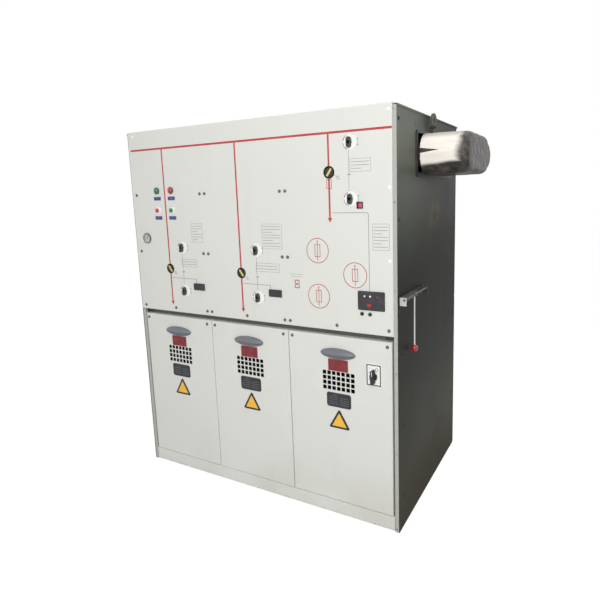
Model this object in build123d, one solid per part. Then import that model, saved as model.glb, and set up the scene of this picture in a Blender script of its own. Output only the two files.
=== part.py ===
from build123d import *
import math
import os

# Ring main unit: a floor-standing medium-voltage switchgear cabinet of two line modules and
# one fuse module. X runs to the right, Y to the back, Z up, in millimetres. The origin is on
# the floor, at the centre of the cabinet's footprint.

# Cabinet
cabinet_width = 1310.0
cabinet_depth = 795.0
panel_top = 1595.0
sheet = 2.0
bend_radius = 3.5
hidden_seam = 3.0
running_clearance = 0.05

# Roof
roof_lip = 8.0
roof_rear_overhang = 12.0

# Base frame
base_height = 60.0
base_wall = 4.0
base_rail_width = 40.0
base_rear_gap = 8.0
anchor_hole_radius = 7.0
anchor_inset = 60.0

# Front posts and rails
post_face_width = 16.0
post_leg_depth = 44.0
seat_depth = 22.0
seat_flange_width = 40.0
rail_flange_height = 30.0
header_flange_height = 38.0
header_return_depth = 40.0
divider_depth = 30.0
divider_width = 50.0

# Upper mimic panel
mimic_bottom = 784.0
mimic_top = 1600.0
mimic_inset = 14.0
mimic_proud = 12.0

# Cable covers and kick plate
cover_side_gap = 7.0
cover_gap = 3.0
cover_bottom = 62.0
cover_top = 759.0
line_cover_width = 403.0
kick_plate_floor_gap = 2.0
kick_plate_end_gap = 1.0

# Cover furniture, heights above the floor
grip_width = 152.0
grip_height = 44.0
grip_proud = 22.0
grip_wall = 3.0
grip_plate = 2.5
grip_mouth_top = -2.0
grip_z = 688.0
sign_width = 86.0
sign_height = 48.0
sign_thickness = 1.5
sign_z = 641.0
vent_columns = 7
vent_rows = 4
vent_hole = 16.0
vent_pitch = 20.6
vent_rim = 6.0
vent_z = 575.5
rating_plate_width = 106.0
rating_plate_height = 59.0
rating_plate_corner = 9.0
rating_plate_z = 497.0
triangle_side = 94.0
triangle_base_z = 379.0

# Operating modules, measured from the cabinet's left side
module_start = 30.0
module_pitch = 404.5
socket_offset = 270.5
indicator_offset = 188.5
line_socket_heights = (1082.5, 887.0)
line_indicator_z = 985.0
fuse_socket_x = 1135.5
fuse_socket_heights = (1479.5, 1281.0)
fuse_indicator_x = 1050.0
fuse_indicator_z = 1378.5

# Operating sockets
escutcheon_radius = 27.0
escutcheon_thickness = 3.0
spindle_radius = 11.0
spindle_length = 34.0
boss_width = 19.0
boss_height = 38.0
boss_proud = 8.0
boss_gap = 1.0
drive_bore_radius = 6.0
drive_bore_depth = 26.0
drive_notch_width = 3.0
drive_notch_reach = 9.0
panel_hole_margin = 2.0

# Position indicators
indicator_radius = 17.5
indicator_hole_radius = 23.0
indicator_disc = 3.0
indicator_set_back = 1.0
indicator_bar_width = 8.0
indicator_bar_proud = 0.8
indicator_cup_depth = 16.0
indicator_cup_wall = 2.5
indicator_pin_radius = 4.0

# Lamps and push-buttons on the left module
lamp_columns = (172.0, 257.0)
lamp_z = 1335.0
button_z = 1248.0
bezel_radius = 14.5
bezel_proud = 5.0
lamp_lens_radius = 11.5
lamp_dome = 7.0
barrel_radius = 10.5
barrel_length = 40.0
button_radius = 9.5
button_proud = 11.0
button_travel = 4.0

# Pressure gauge
gauge_x = 89.0
gauge_z = 1121.5
gauge_radius = 28.0
gauge_proud = 10.0
gauge_rim = 3.5
gauge_recess = 3.0
gauge_stem_radius = 12.0
gauge_stem_length = 34.0

# Voltage indicators of the line modules
voltage_box_width = 62.0
voltage_box_height = 30.0
voltage_box_proud = 5.0
voltage_box_body_depth = 28.0
voltage_box_body_inset = 3.0
voltage_box_offset = 325.5
voltage_box_z = 910.5

# Fault indicator and test sockets of the fuse module
fault_panel_width = 106.0
fault_panel_height = 71.0
fault_panel_proud = 5.0
fault_panel_depth = 32.0
fault_panel_x = 1211.5
fault_panel_z = 911.5
test_socket_columns = (1174.0, 1206.0)
test_socket_z = 861.0
test_socket_radius = 7.0
test_socket_proud = 5.0
test_socket_bore = 2.0

# Trip button of the fuse module
trip_x = 1172.5
trip_z = 1258.0
trip_size = 24.0
trip_wall = 2.5
trip_proud = 3.0
trip_depth = 30.0
trip_cap_set_back = 7.0
trip_gap = 0.3
trip_travel = 4.0

# Rotary switch on the right cable cover
cam_plate_width = 61.0
cam_plate_height = 85.0
cam_plate_proud = 6.0
cam_x = 1213.5
cam_z = 626.0
cam_knob_z = 621.0
cam_hub_radius = 15.0
cam_hub_thickness = 6.0
cam_handle_width = 14.0
cam_handle_height = 56.0
cam_handle_proud = 20.0
cam_spindle_radius = 5.0
cam_body_radius = 20.0
cam_body_depth = 45.0

# Gas tank and busbar extension
tank_front = 130.0
tank_back = 700.0
tank_bottom = 812.0
tank_top = 1560.0
tank_half_width = 600.0
tank_flange = 8.0
tank_flange_height = 40.0
bushing_pitch = 140.0
bushing_z = 1443.0
bushing_middle = 448.0
bushing_base_radius = 62.0
bushing_base_thickness = 14.0
bushing_root_radius = 48.0
bushing_tip_radius = 36.0
bushing_cap_radius = 62.0
bushing_cap_length = 60.0
bushing_shed_count = 3
bushing_shed_reach = 8.0
extension_reach = 190.0
wrap_wall = 4.0
wrap_gap = 0.3
wrap_end_radius = 24.0

# Opening in the right side for the busbar extension
side_opening_front = 206.0
side_opening_back = 690.0
side_opening_bottom = 1367.0
side_opening_top = 1518.0
side_opening_corner = 10.0
edging_width = 12.0
edging_thickness = 6.0

# Lifting lugs
lug_y = 365.0
lug_width = 67.0
lug_thickness = 6.0
lug_top = 1604.0
lug_bottom = 1531.0
lug_joggle = 15.0
lug_foot_height = 16.0
lug_joggle_height = 10.0
lug_hole_radius = 9.0
lug_hole_z = 1576.0

# Release lever on the right side
lever_bracket_front = 10.0
lever_bracket_length = 262.0
lever_bracket_height = 30.0
lever_bracket_wall = 3.0
lever_bracket_reach = 27.0
lever_bracket_z = 897.0
lever_shaft_offset = 20.0
lever_shaft_z = 919.0
lever_shaft_radius = 4.0
lever_hub_radius = 7.0
lever_hub_length = 14.0
lever_hub_y = 121.0
lever_rod_radius = 2.8
lever_ball_radius = 13.5
lever_ball_z = 710.0

# Places worked out from the sizes above
left_side = -cabinet_width / 2
right_side = cabinet_width / 2
front = -cabinet_depth / 2
back = cabinet_depth / 2
mimic_face = front - mimic_proud
seat_face = front + seat_depth
post_edge = cabinet_width / 2 - sheet - post_face_width
seat_edge = post_edge - seat_flange_width
cover_edge = post_edge - cover_side_gap
tray_inner = seat_face + sheet


def block(x0, x1, y0, y1, z0, z1):
    """A box between two corners."""
    return Pos((x0 + x1) / 2, (y0 + y1) / 2, (z0 + z1) / 2) * Box(x1 - x0, y1 - y0, z1 - z0)


def facing_front(x, y, z):
    """A plane that faces the front, with X to the right and Z up."""
    return Plane(origin=(x, y, z), x_dir=(1, 0, 0), z_dir=(0, -1, 0))


def facing_right(x, y, z):
    """A plane that faces the right side, with Y across and Z up."""
    return Plane(origin=(x, y, z), x_dir=(0, 1, 0), z_dir=(1, 0, 0))


def prism(outline, x, y_back, z, length):
    """An outline drawn on the front, extruded forwards from y_back."""
    return extrude(facing_front(x, y_back, z) * outline, amount=length)


def drum(radius, x, y_back, z, length):
    """A round bar along Y that ends at y_back and runs forwards."""
    return prism(Circle(radius), x, y_back, z, length)


def join(shapes):
    """The shapes as one piece."""
    whole = shapes[0]
    for shape in shapes[1:]:
        whole = whole + shape
    return whole


def bore(radius, x, z):
    """A round cutter along Y through the whole cabinet."""
    return drum(radius, x, 2 * cabinet_depth, z, 4 * cabinet_depth)


def folded_strip(points, thickness, radius):
    """The section of a folded sheet whose middle line runs through the points."""
    middle = FilletPolyline(*points, radius=radius)
    near = make_face(offset(middle, amount=thickness / 2, side=Side.LEFT, closed=True))
    far = make_face(offset(middle, amount=thickness / 2, side=Side.RIGHT, closed=True))
    return near + far


def front_tray(x0, x1, z0, z1, face, depth):
    """A sheet tray with its face to the front and its edges folded back."""
    solid = block(x0, x1, face, face + depth, z0, z1)
    front_edges = solid.faces().sort_by(Axis.Y)[0].edges()
    solid = fillet(front_edges, bend_radius)
    open_back = solid.faces().sort_by(Axis.Y)[-1]
    return offset(solid, amount=-sheet, openings=open_back)


def from_left(distance):
    """X of a place that is measured from the cabinet's left side."""
    return left_side + distance


def from_front(distance):
    """Y of a place that is measured from the front posts."""
    return front + distance


def module_x(index, offset_in_module):
    """X of a feature that repeats in the line modules."""
    return from_left(module_start + index * module_pitch + offset_in_module)


# Centres of the covers and of the gaps between them
cover_spans = [
    (-cover_edge, -cover_edge + line_cover_width),
    (-cover_edge + line_cover_width + cover_gap, -cover_edge + 2 * line_cover_width + cover_gap),
    (-cover_edge + 2 * (line_cover_width + cover_gap), cover_edge),
]
cover_centres = [(low + high) / 2 for low, high in cover_spans]
cover_seams = [cover_spans[0][1] + cover_gap / 2, cover_spans[1][1] + cover_gap / 2]

# Places of the operating sockets and position indicators
socket_places = {
    "left_upper": (module_x(0, socket_offset), line_socket_heights[0]),
    "left_lower": (module_x(0, socket_offset), line_socket_heights[1]),
    "middle_upper": (module_x(1, socket_offset), line_socket_heights[0]),
    "middle_lower": (module_x(1, socket_offset), line_socket_heights[1]),
    "right_upper": (from_left(fuse_socket_x), fuse_socket_heights[0]),
    "right_lower": (from_left(fuse_socket_x), fuse_socket_heights[1]),
}
indicator_places = {
    "left": (module_x(0, indicator_offset), line_indicator_z),
    "middle": (module_x(1, indicator_offset), line_indicator_z),
    "right": (from_left(fuse_indicator_x), fuse_indicator_z),
}
indicator_tilt = {"left": 35.0, "middle": 35.0, "right": -35.0}
voltage_places = [module_x(index, voltage_box_offset) for index in (0, 1)]
bushing_places = [from_front(bushing_middle + step * bushing_pitch) for step in (-1, 0, 1)]


# Base frame: a ring of inward channels with one cross rail, on four anchor holes
def base_frame():
    outer_x = cabinet_width / 2 - sheet
    frame_front = from_front(post_leg_depth + sheet)
    frame_back = back - base_rear_gap
    ring = block(-outer_x, outer_x, frame_front, frame_back, 0, base_height)
    bay_x = outer_x - base_rail_width
    bay_front = frame_front + base_rail_width
    bay_back = frame_back - base_rail_width
    rail_half = base_rail_width / 2
    for y0, y1 in ((bay_front, -rail_half), (rail_half, bay_back)):
        ring = ring - block(-bay_x, bay_x, y0, y1, 0, base_height)
    pocket_x = outer_x - base_wall
    pocket_top = base_height - base_wall
    web = base_wall / 2
    for y0, y1 in ((frame_front + base_wall, -web), (web, frame_back - base_wall)):
        ring = ring - block(-pocket_x, pocket_x, y0, y1, base_wall, pocket_top)
    for x in (-outer_x + anchor_inset, outer_x - anchor_inset):
        for y in anchor_rows():
            ring = ring - Pos(x, y, 0) * Cylinder(anchor_hole_radius, 2.2 * base_wall)
    return ring


def anchor_rows():
    """Y of the anchor holes, in the middle of the front and rear rails' flanges."""
    frame_front = from_front(post_leg_depth + sheet)
    inset = (base_rail_width + base_wall) / 2
    return frame_front + inset, back - base_rear_gap - inset


# Kick plate: a shallow tray between the posts
def kick_plate():
    reach = post_edge - kick_plate_end_gap
    tray = front_tray(-reach, reach, kick_plate_floor_gap, base_height, front, post_leg_depth + sheet)
    notch_x = seat_edge - 0.5
    notch_y = seat_face - 0.5
    for x0, x1 in ((-cabinet_width, -notch_x), (notch_x, cabinet_width)):
        tray = tray - block(x0, x1, notch_y, 0, 0, base_height)
    return tray


# Rear floor plate, behind the cable bay
def floor_plate():
    edge = cabinet_width / 2 - sheet
    return block(-edge, edge, 0, back - base_rear_gap, base_height, base_height + sheet)


# Side panels: sheets with a flange folded in at the back
def side_panel(side):
    middle = cabinet_width / 2 - sheet / 2
    flange_end = middle - 28.0
    points = [(middle, front), (middle, back - 1.5 * sheet), (flange_end, back - 1.5 * sheet)]
    section = folded_strip(points, sheet, bend_radius)
    panel = extrude(section, amount=panel_top)
    if side < 0:
        panel = mirror(panel, about=Plane.YZ)
        return panel
    opening = side_opening_outline(0)
    return panel - extrude(facing_right(0, 0, 0) * opening, amount=cabinet_width)


def side_opening_outline(margin):
    """The outline of the busbar opening on a plane that faces right, grown by the margin."""
    width = side_opening_back - side_opening_front + 2 * margin
    height = side_opening_top - side_opening_bottom + 2 * margin
    centre_y = from_front((side_opening_front + side_opening_back) / 2)
    centre_z = (side_opening_bottom + side_opening_top) / 2
    return Pos(centre_y, centre_z) * RectangleRounded(width, height, side_opening_corner + margin)


# Roof: a cap with its lips folded down outside the sides
def roof_panel():
    edge = cabinet_width / 2 + sheet
    rear = back + roof_rear_overhang
    cap_top = panel_top + sheet
    cap = block(-edge, edge, front, rear, cap_top - roof_lip, cap_top)
    lip_edges = cap.faces().sort_by(Axis.Z)[-1].edges().filter_by(Axis.Y)
    cap = fillet(lip_edges, sheet + 0.5)
    inner = block(
        -edge + sheet, edge - sheet, front - 1, rear - sheet, cap_top - roof_lip - 1, panel_top
    )
    return cap - inner


# Rear panels, screwed over the side flanges
def rear_panel(bottom, top):
    edge = cabinet_width / 2
    plate = block(-edge, edge, back - sheet, back, bottom, top)
    upright = plate.edges().filter_by(Axis.Y)
    return fillet(upright, bend_radius)


# Front posts: a leg, a narrow face and a seat flange folded from one sheet
def front_post(side):
    half = sheet / 2
    leg_x = cabinet_width / 2 - sheet - half
    points = [
        (leg_x, from_front(post_leg_depth)),
        (leg_x, front + half),
        (post_edge + half, front + half),
        (post_edge + half, seat_face + half),
        (seat_edge, seat_face + half),
    ]
    section = folded_strip(points, sheet, 2.0)
    post = extrude(section, amount=panel_top - sheet)
    if side < 0:
        post = mirror(post, about=Plane.YZ)
    return post


# Header rail under the roof
def header_rail():
    half = sheet / 2
    points = [
        (front + half, panel_top - header_flange_height),
        (front + half, panel_top - half),
        (from_front(header_return_depth), panel_top - half),
    ]
    return rail_along_x(points, 2.0)


# Middle rail: carries the mimic panel's lower edge and the covers' upper edges
def middle_rail():
    half = sheet / 2
    fold_z = mimic_bottom + half
    points = [
        (front + half, fold_z + rail_flange_height),
        (front + half, fold_z),
        (seat_face + half, fold_z),
        (seat_face + half, cover_top - 24.0),
    ]
    rail = rail_along_x(points, 2.0)
    for side in (-1, 1):
        x0, x1 = sorted((side * seat_edge, side * cabinet_width))
        rail = rail - block(x0, x1, seat_face - sheet, tray_inner + 1, 0, panel_top)
    return rail


def rail_along_x(points, radius):
    """A folded rail between the posts, from its middle line in Y and Z."""
    section = facing_right(-post_edge, 0, 0) * folded_strip(points, sheet, radius)
    return extrude(section, amount=2 * post_edge)


# Dividers: two upright channels on which neighbouring covers seat
def cover_dividers():
    half = sheet / 2
    channels = []
    for seam in cover_seams:
        left = seam - divider_width / 2 + half
        right = seam + divider_width / 2 - half
        points = [
            (left, seat_face + divider_depth),
            (left, seat_face + half),
            (right, seat_face + half),
            (right, seat_face + divider_depth),
        ]
        section = folded_strip(points, sheet, 2.0)
        channel = extrude(Pos(0, 0, base_height) * section, amount=cover_top - 24.0 - base_height)
        channels.append(channel)
    return Compound(children=channels)


# Mimic panel: one tray over the three modules, cut for its instruments
def mimic_panel():
    edge = cabinet_width / 2 - mimic_inset
    panel = front_tray(-edge, edge, mimic_bottom, mimic_top, mimic_face, mimic_proud)
    cutters = []
    for x, z in socket_places.values():
        cutters.append(bore(spindle_radius + panel_hole_margin, x, z))
    for x, z in indicator_places.values():
        cutters.append(bore(indicator_hole_radius, x, z))
    for column in lamp_columns:
        for z in (lamp_z, button_z):
            cutters.append(bore(barrel_radius, from_left(column), z))
    cutters.append(bore(gauge_stem_radius, from_left(gauge_x), gauge_z))
    for x in voltage_places:
        body = voltage_body_outline()
        cutters.append(prism(body, x + voltage_box_width / 2, front, voltage_box_z, 2 * mimic_proud))
    body = fault_body_outline()
    cutters.append(prism(body, from_left(fault_panel_x), front, fault_panel_z, 2 * mimic_proud))
    square = Rectangle(trip_size, trip_size)
    cutters.append(prism(square, from_left(trip_x), front, trip_z, 2 * mimic_proud))
    for column in test_socket_columns:
        cutters.append(bore(test_socket_radius - 2.0, from_left(column), test_socket_z))
    for cutter in cutters:
        panel = panel - cutter
    return panel


# Operating sockets: fixed round escutcheons and turning bosses
def socket_escutcheons():
    rings = []
    for x, z in socket_places.values():
        ring = drum(escutcheon_radius, x, mimic_face, z, escutcheon_thickness)
        ring = chamfer(ring.faces().sort_by(Axis.Y)[0].edges(), 1.0)
        sleeve_length = spindle_length / 2
        sleeve_radius = spindle_radius + panel_hole_margin
        sleeve = drum(sleeve_radius, x, mimic_face + sleeve_length, z, sleeve_length)
        ring = ring + sleeve
        rings.append(ring - bore(spindle_radius + running_clearance, x, z))
    return Compound(children=rings)


def drive_boss(place):
    """A turning boss: a rounded bar with a notched drive bore, on its spindle."""
    x, z = place
    face = mimic_face - escutcheon_thickness - boss_gap
    outline = Rotation(0, 0, 90) * SlotOverall(boss_height, boss_width)
    boss = prism(outline, x, face, z, boss_proud)
    boss = fillet(boss.faces().sort_by(Axis.Y)[0].edges(), 1.5)
    spindle_back = mimic_face + spindle_length
    boss = boss + drum(spindle_radius, x, spindle_back, z, spindle_back - face)
    mouth = face - boss_proud
    bore_back = mouth + drive_bore_depth
    boss = boss - drum(drive_bore_radius, x, bore_back, z, drive_bore_depth + 1)
    notch = Rectangle(drive_notch_width, 2 * drive_notch_reach)
    return boss - prism(notch, x, mouth + boss_proud / 2, z, boss_proud)


# Position indicators: a cup behind the panel and a disc with a raised bar
def indicator_cups():
    cups = []
    outer = indicator_hole_radius + indicator_cup_wall
    face = mimic_face + sheet
    for x, z in indicator_places.values():
        cup = drum(outer, x, face + indicator_cup_depth, z, indicator_cup_depth)
        floor_y = face + indicator_cup_depth - indicator_cup_wall
        cup = cup - drum(indicator_hole_radius, x, floor_y, z, indicator_cup_depth)
        bush = drum(2 * indicator_pin_radius, x, floor_y, z, 4.0)
        cup = cup + bush
        cups.append(cup - bore(indicator_pin_radius + running_clearance, x, z))
    return Compound(children=cups)


def position_disc(place, tilt):
    """A round disc with a raised diagonal bar, on a pin to the back."""
    x, z = place
    face = mimic_face + indicator_set_back
    disc = drum(indicator_radius, x, face + indicator_disc, z, indicator_disc)
    bar = Rotation(0, 0, tilt) * Rectangle(indicator_bar_width, 2 * indicator_radius)
    bar = bar & Circle(indicator_radius - 1.5)
    disc = disc + prism(bar, x, face, z, indicator_bar_proud)
    pin_back = mimic_face + sheet + indicator_cup_depth + 4.0
    return disc + drum(indicator_pin_radius, x, pin_back, z, pin_back - face)


# Lamps and push-buttons
def signal_lamp(column):
    """A pilot lamp: bezel, domed lens and barrel through the panel, turned about one axis."""
    top = (0, bezel_proud + lamp_dome)
    profile = [
        top,
        (0, -barrel_length),
        (barrel_radius, -barrel_length),
        (barrel_radius, 0),
        (bezel_radius, 0),
        (bezel_radius, bezel_proud - 1.5),
        (bezel_radius - 1.5, bezel_proud),
        (lamp_lens_radius, bezel_proud),
    ]
    dome = TangentArc(top, (lamp_lens_radius, bezel_proud), tangent=(1, 0))
    half_section = make_face(Curve() + [Polyline(*profile), dome])
    return turned(half_section, from_left(column), mimic_face, lamp_z)


def turned(half_section, x, y, z):
    """A half section in X and Y turned about Y, with its +Y to the front, set at a place."""
    solid = revolve(half_section, Axis.Y)
    return Pos(x, y, z) * Rotation(0, 0, 180) * solid


def button_bezels():
    rings = []
    for column in lamp_columns:
        profile = [
            (button_radius + running_clearance, -barrel_length),
            (barrel_radius, -barrel_length),
            (barrel_radius, 0),
            (bezel_radius, 0),
            (bezel_radius, bezel_proud - 1.5),
            (bezel_radius - 1.5, bezel_proud),
            (button_radius + running_clearance, bezel_proud),
        ]
        half_section = make_face(Polyline(*profile, close=True))
        rings.append(turned(half_section, from_left(column), mimic_face, button_z))
    return Compound(children=rings)


def push_button(column):
    """A round cap that slides in its bezel."""
    x = from_left(column)
    cap = drum(button_radius, x, mimic_face + barrel_length / 2, button_z, barrel_length / 2 + button_proud)
    return fillet(cap.faces().sort_by(Axis.Y)[0].edges(), 1.5)


# Pressure gauge: a rim round a set-back dial, on a stem through the panel
def pressure_gauge():
    profile = [
        (0, -gauge_stem_length),
        (gauge_stem_radius, -gauge_stem_length),
        (gauge_stem_radius, 0),
        (gauge_radius, 0),
        (gauge_radius, gauge_proud - 2.0),
        (gauge_radius - 1.5, gauge_proud),
        (gauge_radius - gauge_rim, gauge_proud),
        (gauge_radius - gauge_rim - 1.0, gauge_proud - gauge_recess),
        (0, gauge_proud - gauge_recess),
    ]
    half_section = make_face(Polyline(*profile, close=True))
    return turned(half_section, from_left(gauge_x), mimic_face, gauge_z)


# Voltage indicators and the fault indicator: flanged plastic housings
def voltage_body_outline():
    width = voltage_box_width - 2 * voltage_box_body_inset
    height = voltage_box_height - 2 * voltage_box_body_inset
    return Rectangle(width, height)


def voltage_indicators():
    boxes = []
    for x in voltage_places:
        centre = x + voltage_box_width / 2
        outline = RectangleRounded(voltage_box_width, voltage_box_height, 3.0)
        box = prism(outline, centre, mimic_face, voltage_box_z, voltage_box_proud)
        box = chamfer(box.faces().sort_by(Axis.Y)[0].edges(), 1.2)
        body_back = mimic_face + voltage_box_body_depth
        body = prism(voltage_body_outline(), centre, body_back, voltage_box_z, voltage_box_body_depth)
        boxes.append(box + body)
    return Compound(children=boxes)


def fault_body_outline():
    width = fault_panel_width - 2 * voltage_box_body_inset
    height = fault_panel_height - 2 * voltage_box_body_inset
    return Rectangle(width, height)


def fault_indicator():
    x = from_left(fault_panel_x)
    outline = RectangleRounded(fault_panel_width, fault_panel_height, 4.0)
    box = prism(outline, x, mimic_face, fault_panel_z, fault_panel_proud)
    box = chamfer(box.faces().sort_by(Axis.Y)[0].edges(), 1.5)
    body = prism(fault_body_outline(), x, mimic_face + fault_panel_depth, fault_panel_z, fault_panel_depth)
    return box + body


def test_sockets():
    sockets = []
    for column in test_socket_columns:
        profile = [
            (test_socket_bore, -12.0),
            (test_socket_radius - 2.0, -12.0),
            (test_socket_radius - 2.0, 0),
            (test_socket_radius, 0),
            (test_socket_radius, test_socket_proud - 1.0),
            (test_socket_radius - 1.0, test_socket_proud),
            (test_socket_bore, test_socket_proud),
        ]
        half_section = make_face(Polyline(*profile, close=True))
        sockets.append(turned(half_section, from_left(column), mimic_face, test_socket_z))
    return Compound(children=sockets)


# Trip button: a square sleeve with a set-back cap
def trip_sleeve():
    x = from_left(trip_x)
    sleeve_back = mimic_face + trip_depth
    sleeve = prism(Rectangle(trip_size, trip_size), x, sleeve_back, trip_z, trip_depth + trip_proud)
    inner = trip_size - 2 * trip_wall
    return sleeve - prism(Rectangle(inner, inner), x, sleeve_back + 1, trip_z, 2 * trip_depth)


def trip_button():
    x = from_left(trip_x)
    size = trip_size - 2 * trip_wall - 2 * trip_gap
    cap_front = mimic_face - trip_proud + trip_cap_set_back
    cap = prism(Rectangle(size, size), x, cap_front + 12.0, trip_z, 12.0)
    return fillet(cap.faces().sort_by(Axis.Y)[0].edges(), 1.5)


# Cable covers: lift-off trays with a square hole for the vent grille
def vent_size():
    """Width and height of the punched field with its rim."""
    width = (vent_columns - 1) * vent_pitch + vent_hole + 2 * vent_rim
    height = (vent_rows - 1) * vent_pitch + vent_hole + 2 * vent_rim
    return width, height


def cable_cover(index):
    low, high = cover_spans[index]
    cover = front_tray(low, high, cover_bottom, cover_top, front, seat_depth)
    width, height = vent_size()
    opening = RectangleRounded(width, height, 3.0)
    cover = cover - prism(opening, cover_centres[index], front + 3 * sheet, vent_z, 4 * sheet)
    if index == 2:
        cover = cover - drum(cam_body_radius, from_left(cam_x), front + 3 * sheet, cam_knob_z, 4 * sheet)
    return cover


def vent_grille(index):
    width, height = vent_size()
    holes = GridLocations(vent_pitch, vent_pitch, vent_columns, vent_rows) * Rectangle(vent_hole, vent_hole)
    outline = RectangleRounded(width, height, 3.0) - holes
    return prism(outline, cover_centres[index], front + sheet, vent_z, sheet)


# Grips: domed shells with a back plate, open below for the fingers
def cover_grips():
    half_width = grip_width / 2
    half_height = grip_height / 2
    dome = scale(Sphere(1.0), by=(half_width, grip_proud, half_height))
    hollow_size = (half_width - 2 * grip_wall, grip_proud - grip_wall, half_height - grip_wall)
    hollow = scale(Sphere(1.0), by=hollow_size)
    reach = grip_width
    hollow = hollow - block(-reach, reach, -grip_plate, reach, -reach, reach)
    grip = dome - block(-reach, reach, 0, reach, -reach, reach) - hollow
    grip = grip - block(-reach, reach, -reach, -grip_plate, -reach, grip_mouth_top)
    return Compound(children=[Pos(centre, front, grip_z) * grip for centre in cover_centres])


# Plates on the covers
def plates_on_covers(outline, z, thickness):
    return Compound(children=[prism(outline, centre, front, z, thickness) for centre in cover_centres])


def red_plates():
    return plates_on_covers(RectangleRounded(sign_width, sign_height, 2.0), sign_z, sign_thickness)


def rating_plates():
    outline = RectangleRounded(rating_plate_width, rating_plate_height, rating_plate_corner)
    return plates_on_covers(outline, rating_plate_z, sign_thickness)


def triangle_plates():
    height = triangle_side * math.sqrt(3) / 2
    corners = [(-triangle_side / 2, 0), (triangle_side / 2, 0), (0, height)]
    outline = make_face(Polyline(*corners, close=True))
    outline = fillet(outline.vertices(), 5.0)
    return plates_on_covers(outline, triangle_base_z, sign_thickness)


# Rotary switch: plate, body behind the cover, and its turning handle
def cam_switch_plate():
    x = from_left(cam_x)
    outline = RectangleRounded(cam_plate_width, cam_plate_height, 4.0)
    plate = prism(outline, x, front, cam_z, cam_plate_proud)
    plate = chamfer(plate.faces().sort_by(Axis.Y)[0].edges(), 1.2)
    body = drum(cam_body_radius, x, from_front(cam_body_depth), cam_knob_z, cam_body_depth)
    hole = cam_spindle_radius + running_clearance
    return plate + body - drum(hole, x, from_front(cam_body_depth / 2), cam_knob_z, cam_body_depth)


def cam_switch_knob():
    x = from_left(cam_x)
    face = front - cam_plate_proud - boss_gap
    knob = drum(cam_hub_radius, x, face, cam_knob_z, cam_hub_thickness)
    outline = Rotation(0, 0, 90) * SlotOverall(cam_handle_height, cam_handle_width)
    handle = prism(outline, x, face, cam_knob_z, cam_handle_proud)
    handle = fillet(handle.faces().sort_by(Axis.Y)[0].edges(), 2.5)
    spindle = drum(cam_spindle_radius, x, face + cam_body_depth / 3, cam_knob_z, cam_body_depth / 3)
    return knob + handle + spindle


# Gas tank with the flanges that hang it between the sides
def gas_tank():
    y0, y1 = from_front(tank_front), from_front(tank_back)
    tank = block(-tank_half_width, tank_half_width, y0, y1, tank_bottom, tank_top)
    tank = fillet(tank.edges().filter_by(Axis.Z), 20.0)
    reach = cabinet_width / 2 - sheet
    low = tank_bottom + tank_flange_height
    flange = block(-reach, reach, y0 + 40, y1 - 40, low, low + tank_flange)
    return tank + flange


# Busbar bushings: sheds on a taper, ended by insulating caps
def busbar_bushings():
    cones = []
    start = tank_half_width
    tip = cabinet_width / 2 + extension_reach - wrap_wall - wrap_gap
    cap_start = tip - bushing_cap_length
    shed_start = start + bushing_base_thickness
    shed_pitch = (cap_start - shed_start) / (bushing_shed_count + 1)
    for y in bushing_places:
        profile = [(0, 0), (bushing_base_radius, 0), (bushing_base_radius, bushing_base_thickness)]
        for step in range(bushing_shed_count):
            along = bushing_base_thickness + (step + 1) * shed_pitch
            share = (along - bushing_base_thickness) / (cap_start - shed_start)
            radius = bushing_root_radius + share * (bushing_tip_radius - bushing_root_radius)
            profile += [(radius, along - 6), (radius + bushing_shed_reach, along), (radius, along + 2)]
        profile += [
            (bushing_tip_radius, cap_start - start),
            (bushing_cap_radius, cap_start - start + 4),
            (bushing_cap_radius, tip - start - wrap_end_radius),
            (bushing_cap_radius - wrap_end_radius, tip - start),
            (0, tip - start),
        ]
        half_section = make_face(Polyline(*profile, close=True))
        cone = revolve(half_section, Axis.Y)
        cones.append(Pos(start, y, bushing_z) * Rotation(0, 0, -90) * cone)
    return Compound(children=cones)


# Film wrap round the three caps: a long rounded hood, open towards the cabinet
def busbar_wrap():
    inner_radius = bushing_cap_radius + wrap_gap
    outer_radius = inner_radius + wrap_wall
    start = cabinet_width / 2 + edging_thickness / 2
    length = cabinet_width / 2 + extension_reach - start
    middle_y = from_front(bushing_middle)
    outer = wrap_body(outer_radius, start, length, middle_y, wrap_end_radius)
    inner_length = length + 1 - wrap_wall
    inner_end = wrap_end_radius - wrap_wall
    inner = wrap_body(inner_radius, start - 1, inner_length, middle_y, inner_end)
    return outer - inner


def wrap_body(radius, start, length, middle_y, end_radius):
    """A rounded bar round the bushings, along X, with its far rim rounded."""
    outline = SlotOverall(2 * bushing_pitch + 2 * radius, 2 * radius)
    bar = extrude(facing_right(start, middle_y, bushing_z) * outline, amount=length)
    return fillet(bar.faces().sort_by(Axis.X)[-1].edges(), end_radius)


# Edging round the side opening
def opening_edging():
    outline = side_opening_outline(edging_width) - side_opening_outline(0)
    return extrude(facing_right(cabinet_width / 2, 0, 0) * outline, amount=edging_thickness)


# Lifting lugs: joggled flat bars on both sides, each with a shackle hole
def lifting_lugs():
    half = lug_thickness / 2
    inner_x = cabinet_width / 2 + half
    outer_x = inner_x + lug_joggle
    foot_top = lug_bottom + lug_foot_height
    points = [
        (inner_x, lug_bottom),
        (inner_x, foot_top),
        (outer_x, foot_top + lug_joggle_height),
        (outer_x, lug_top),
    ]
    y = from_front(lug_y)
    section = facing_front(0, y + lug_width / 2, 0) * folded_strip(points, lug_thickness, 6.0)
    lug = extrude(section, amount=lug_width)
    corner_edges = lug.faces().sort_by(Axis.Z)[-1].edges().filter_by(Axis.X)
    lug = fillet(corner_edges, lug_width * 0.42)
    hole = facing_right(0, y, lug_hole_z) * Circle(lug_hole_radius)
    lug = lug - extrude(hole, amount=cabinet_width)
    return Compound(children=[lug, mirror(lug, about=Plane.YZ)])


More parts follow.
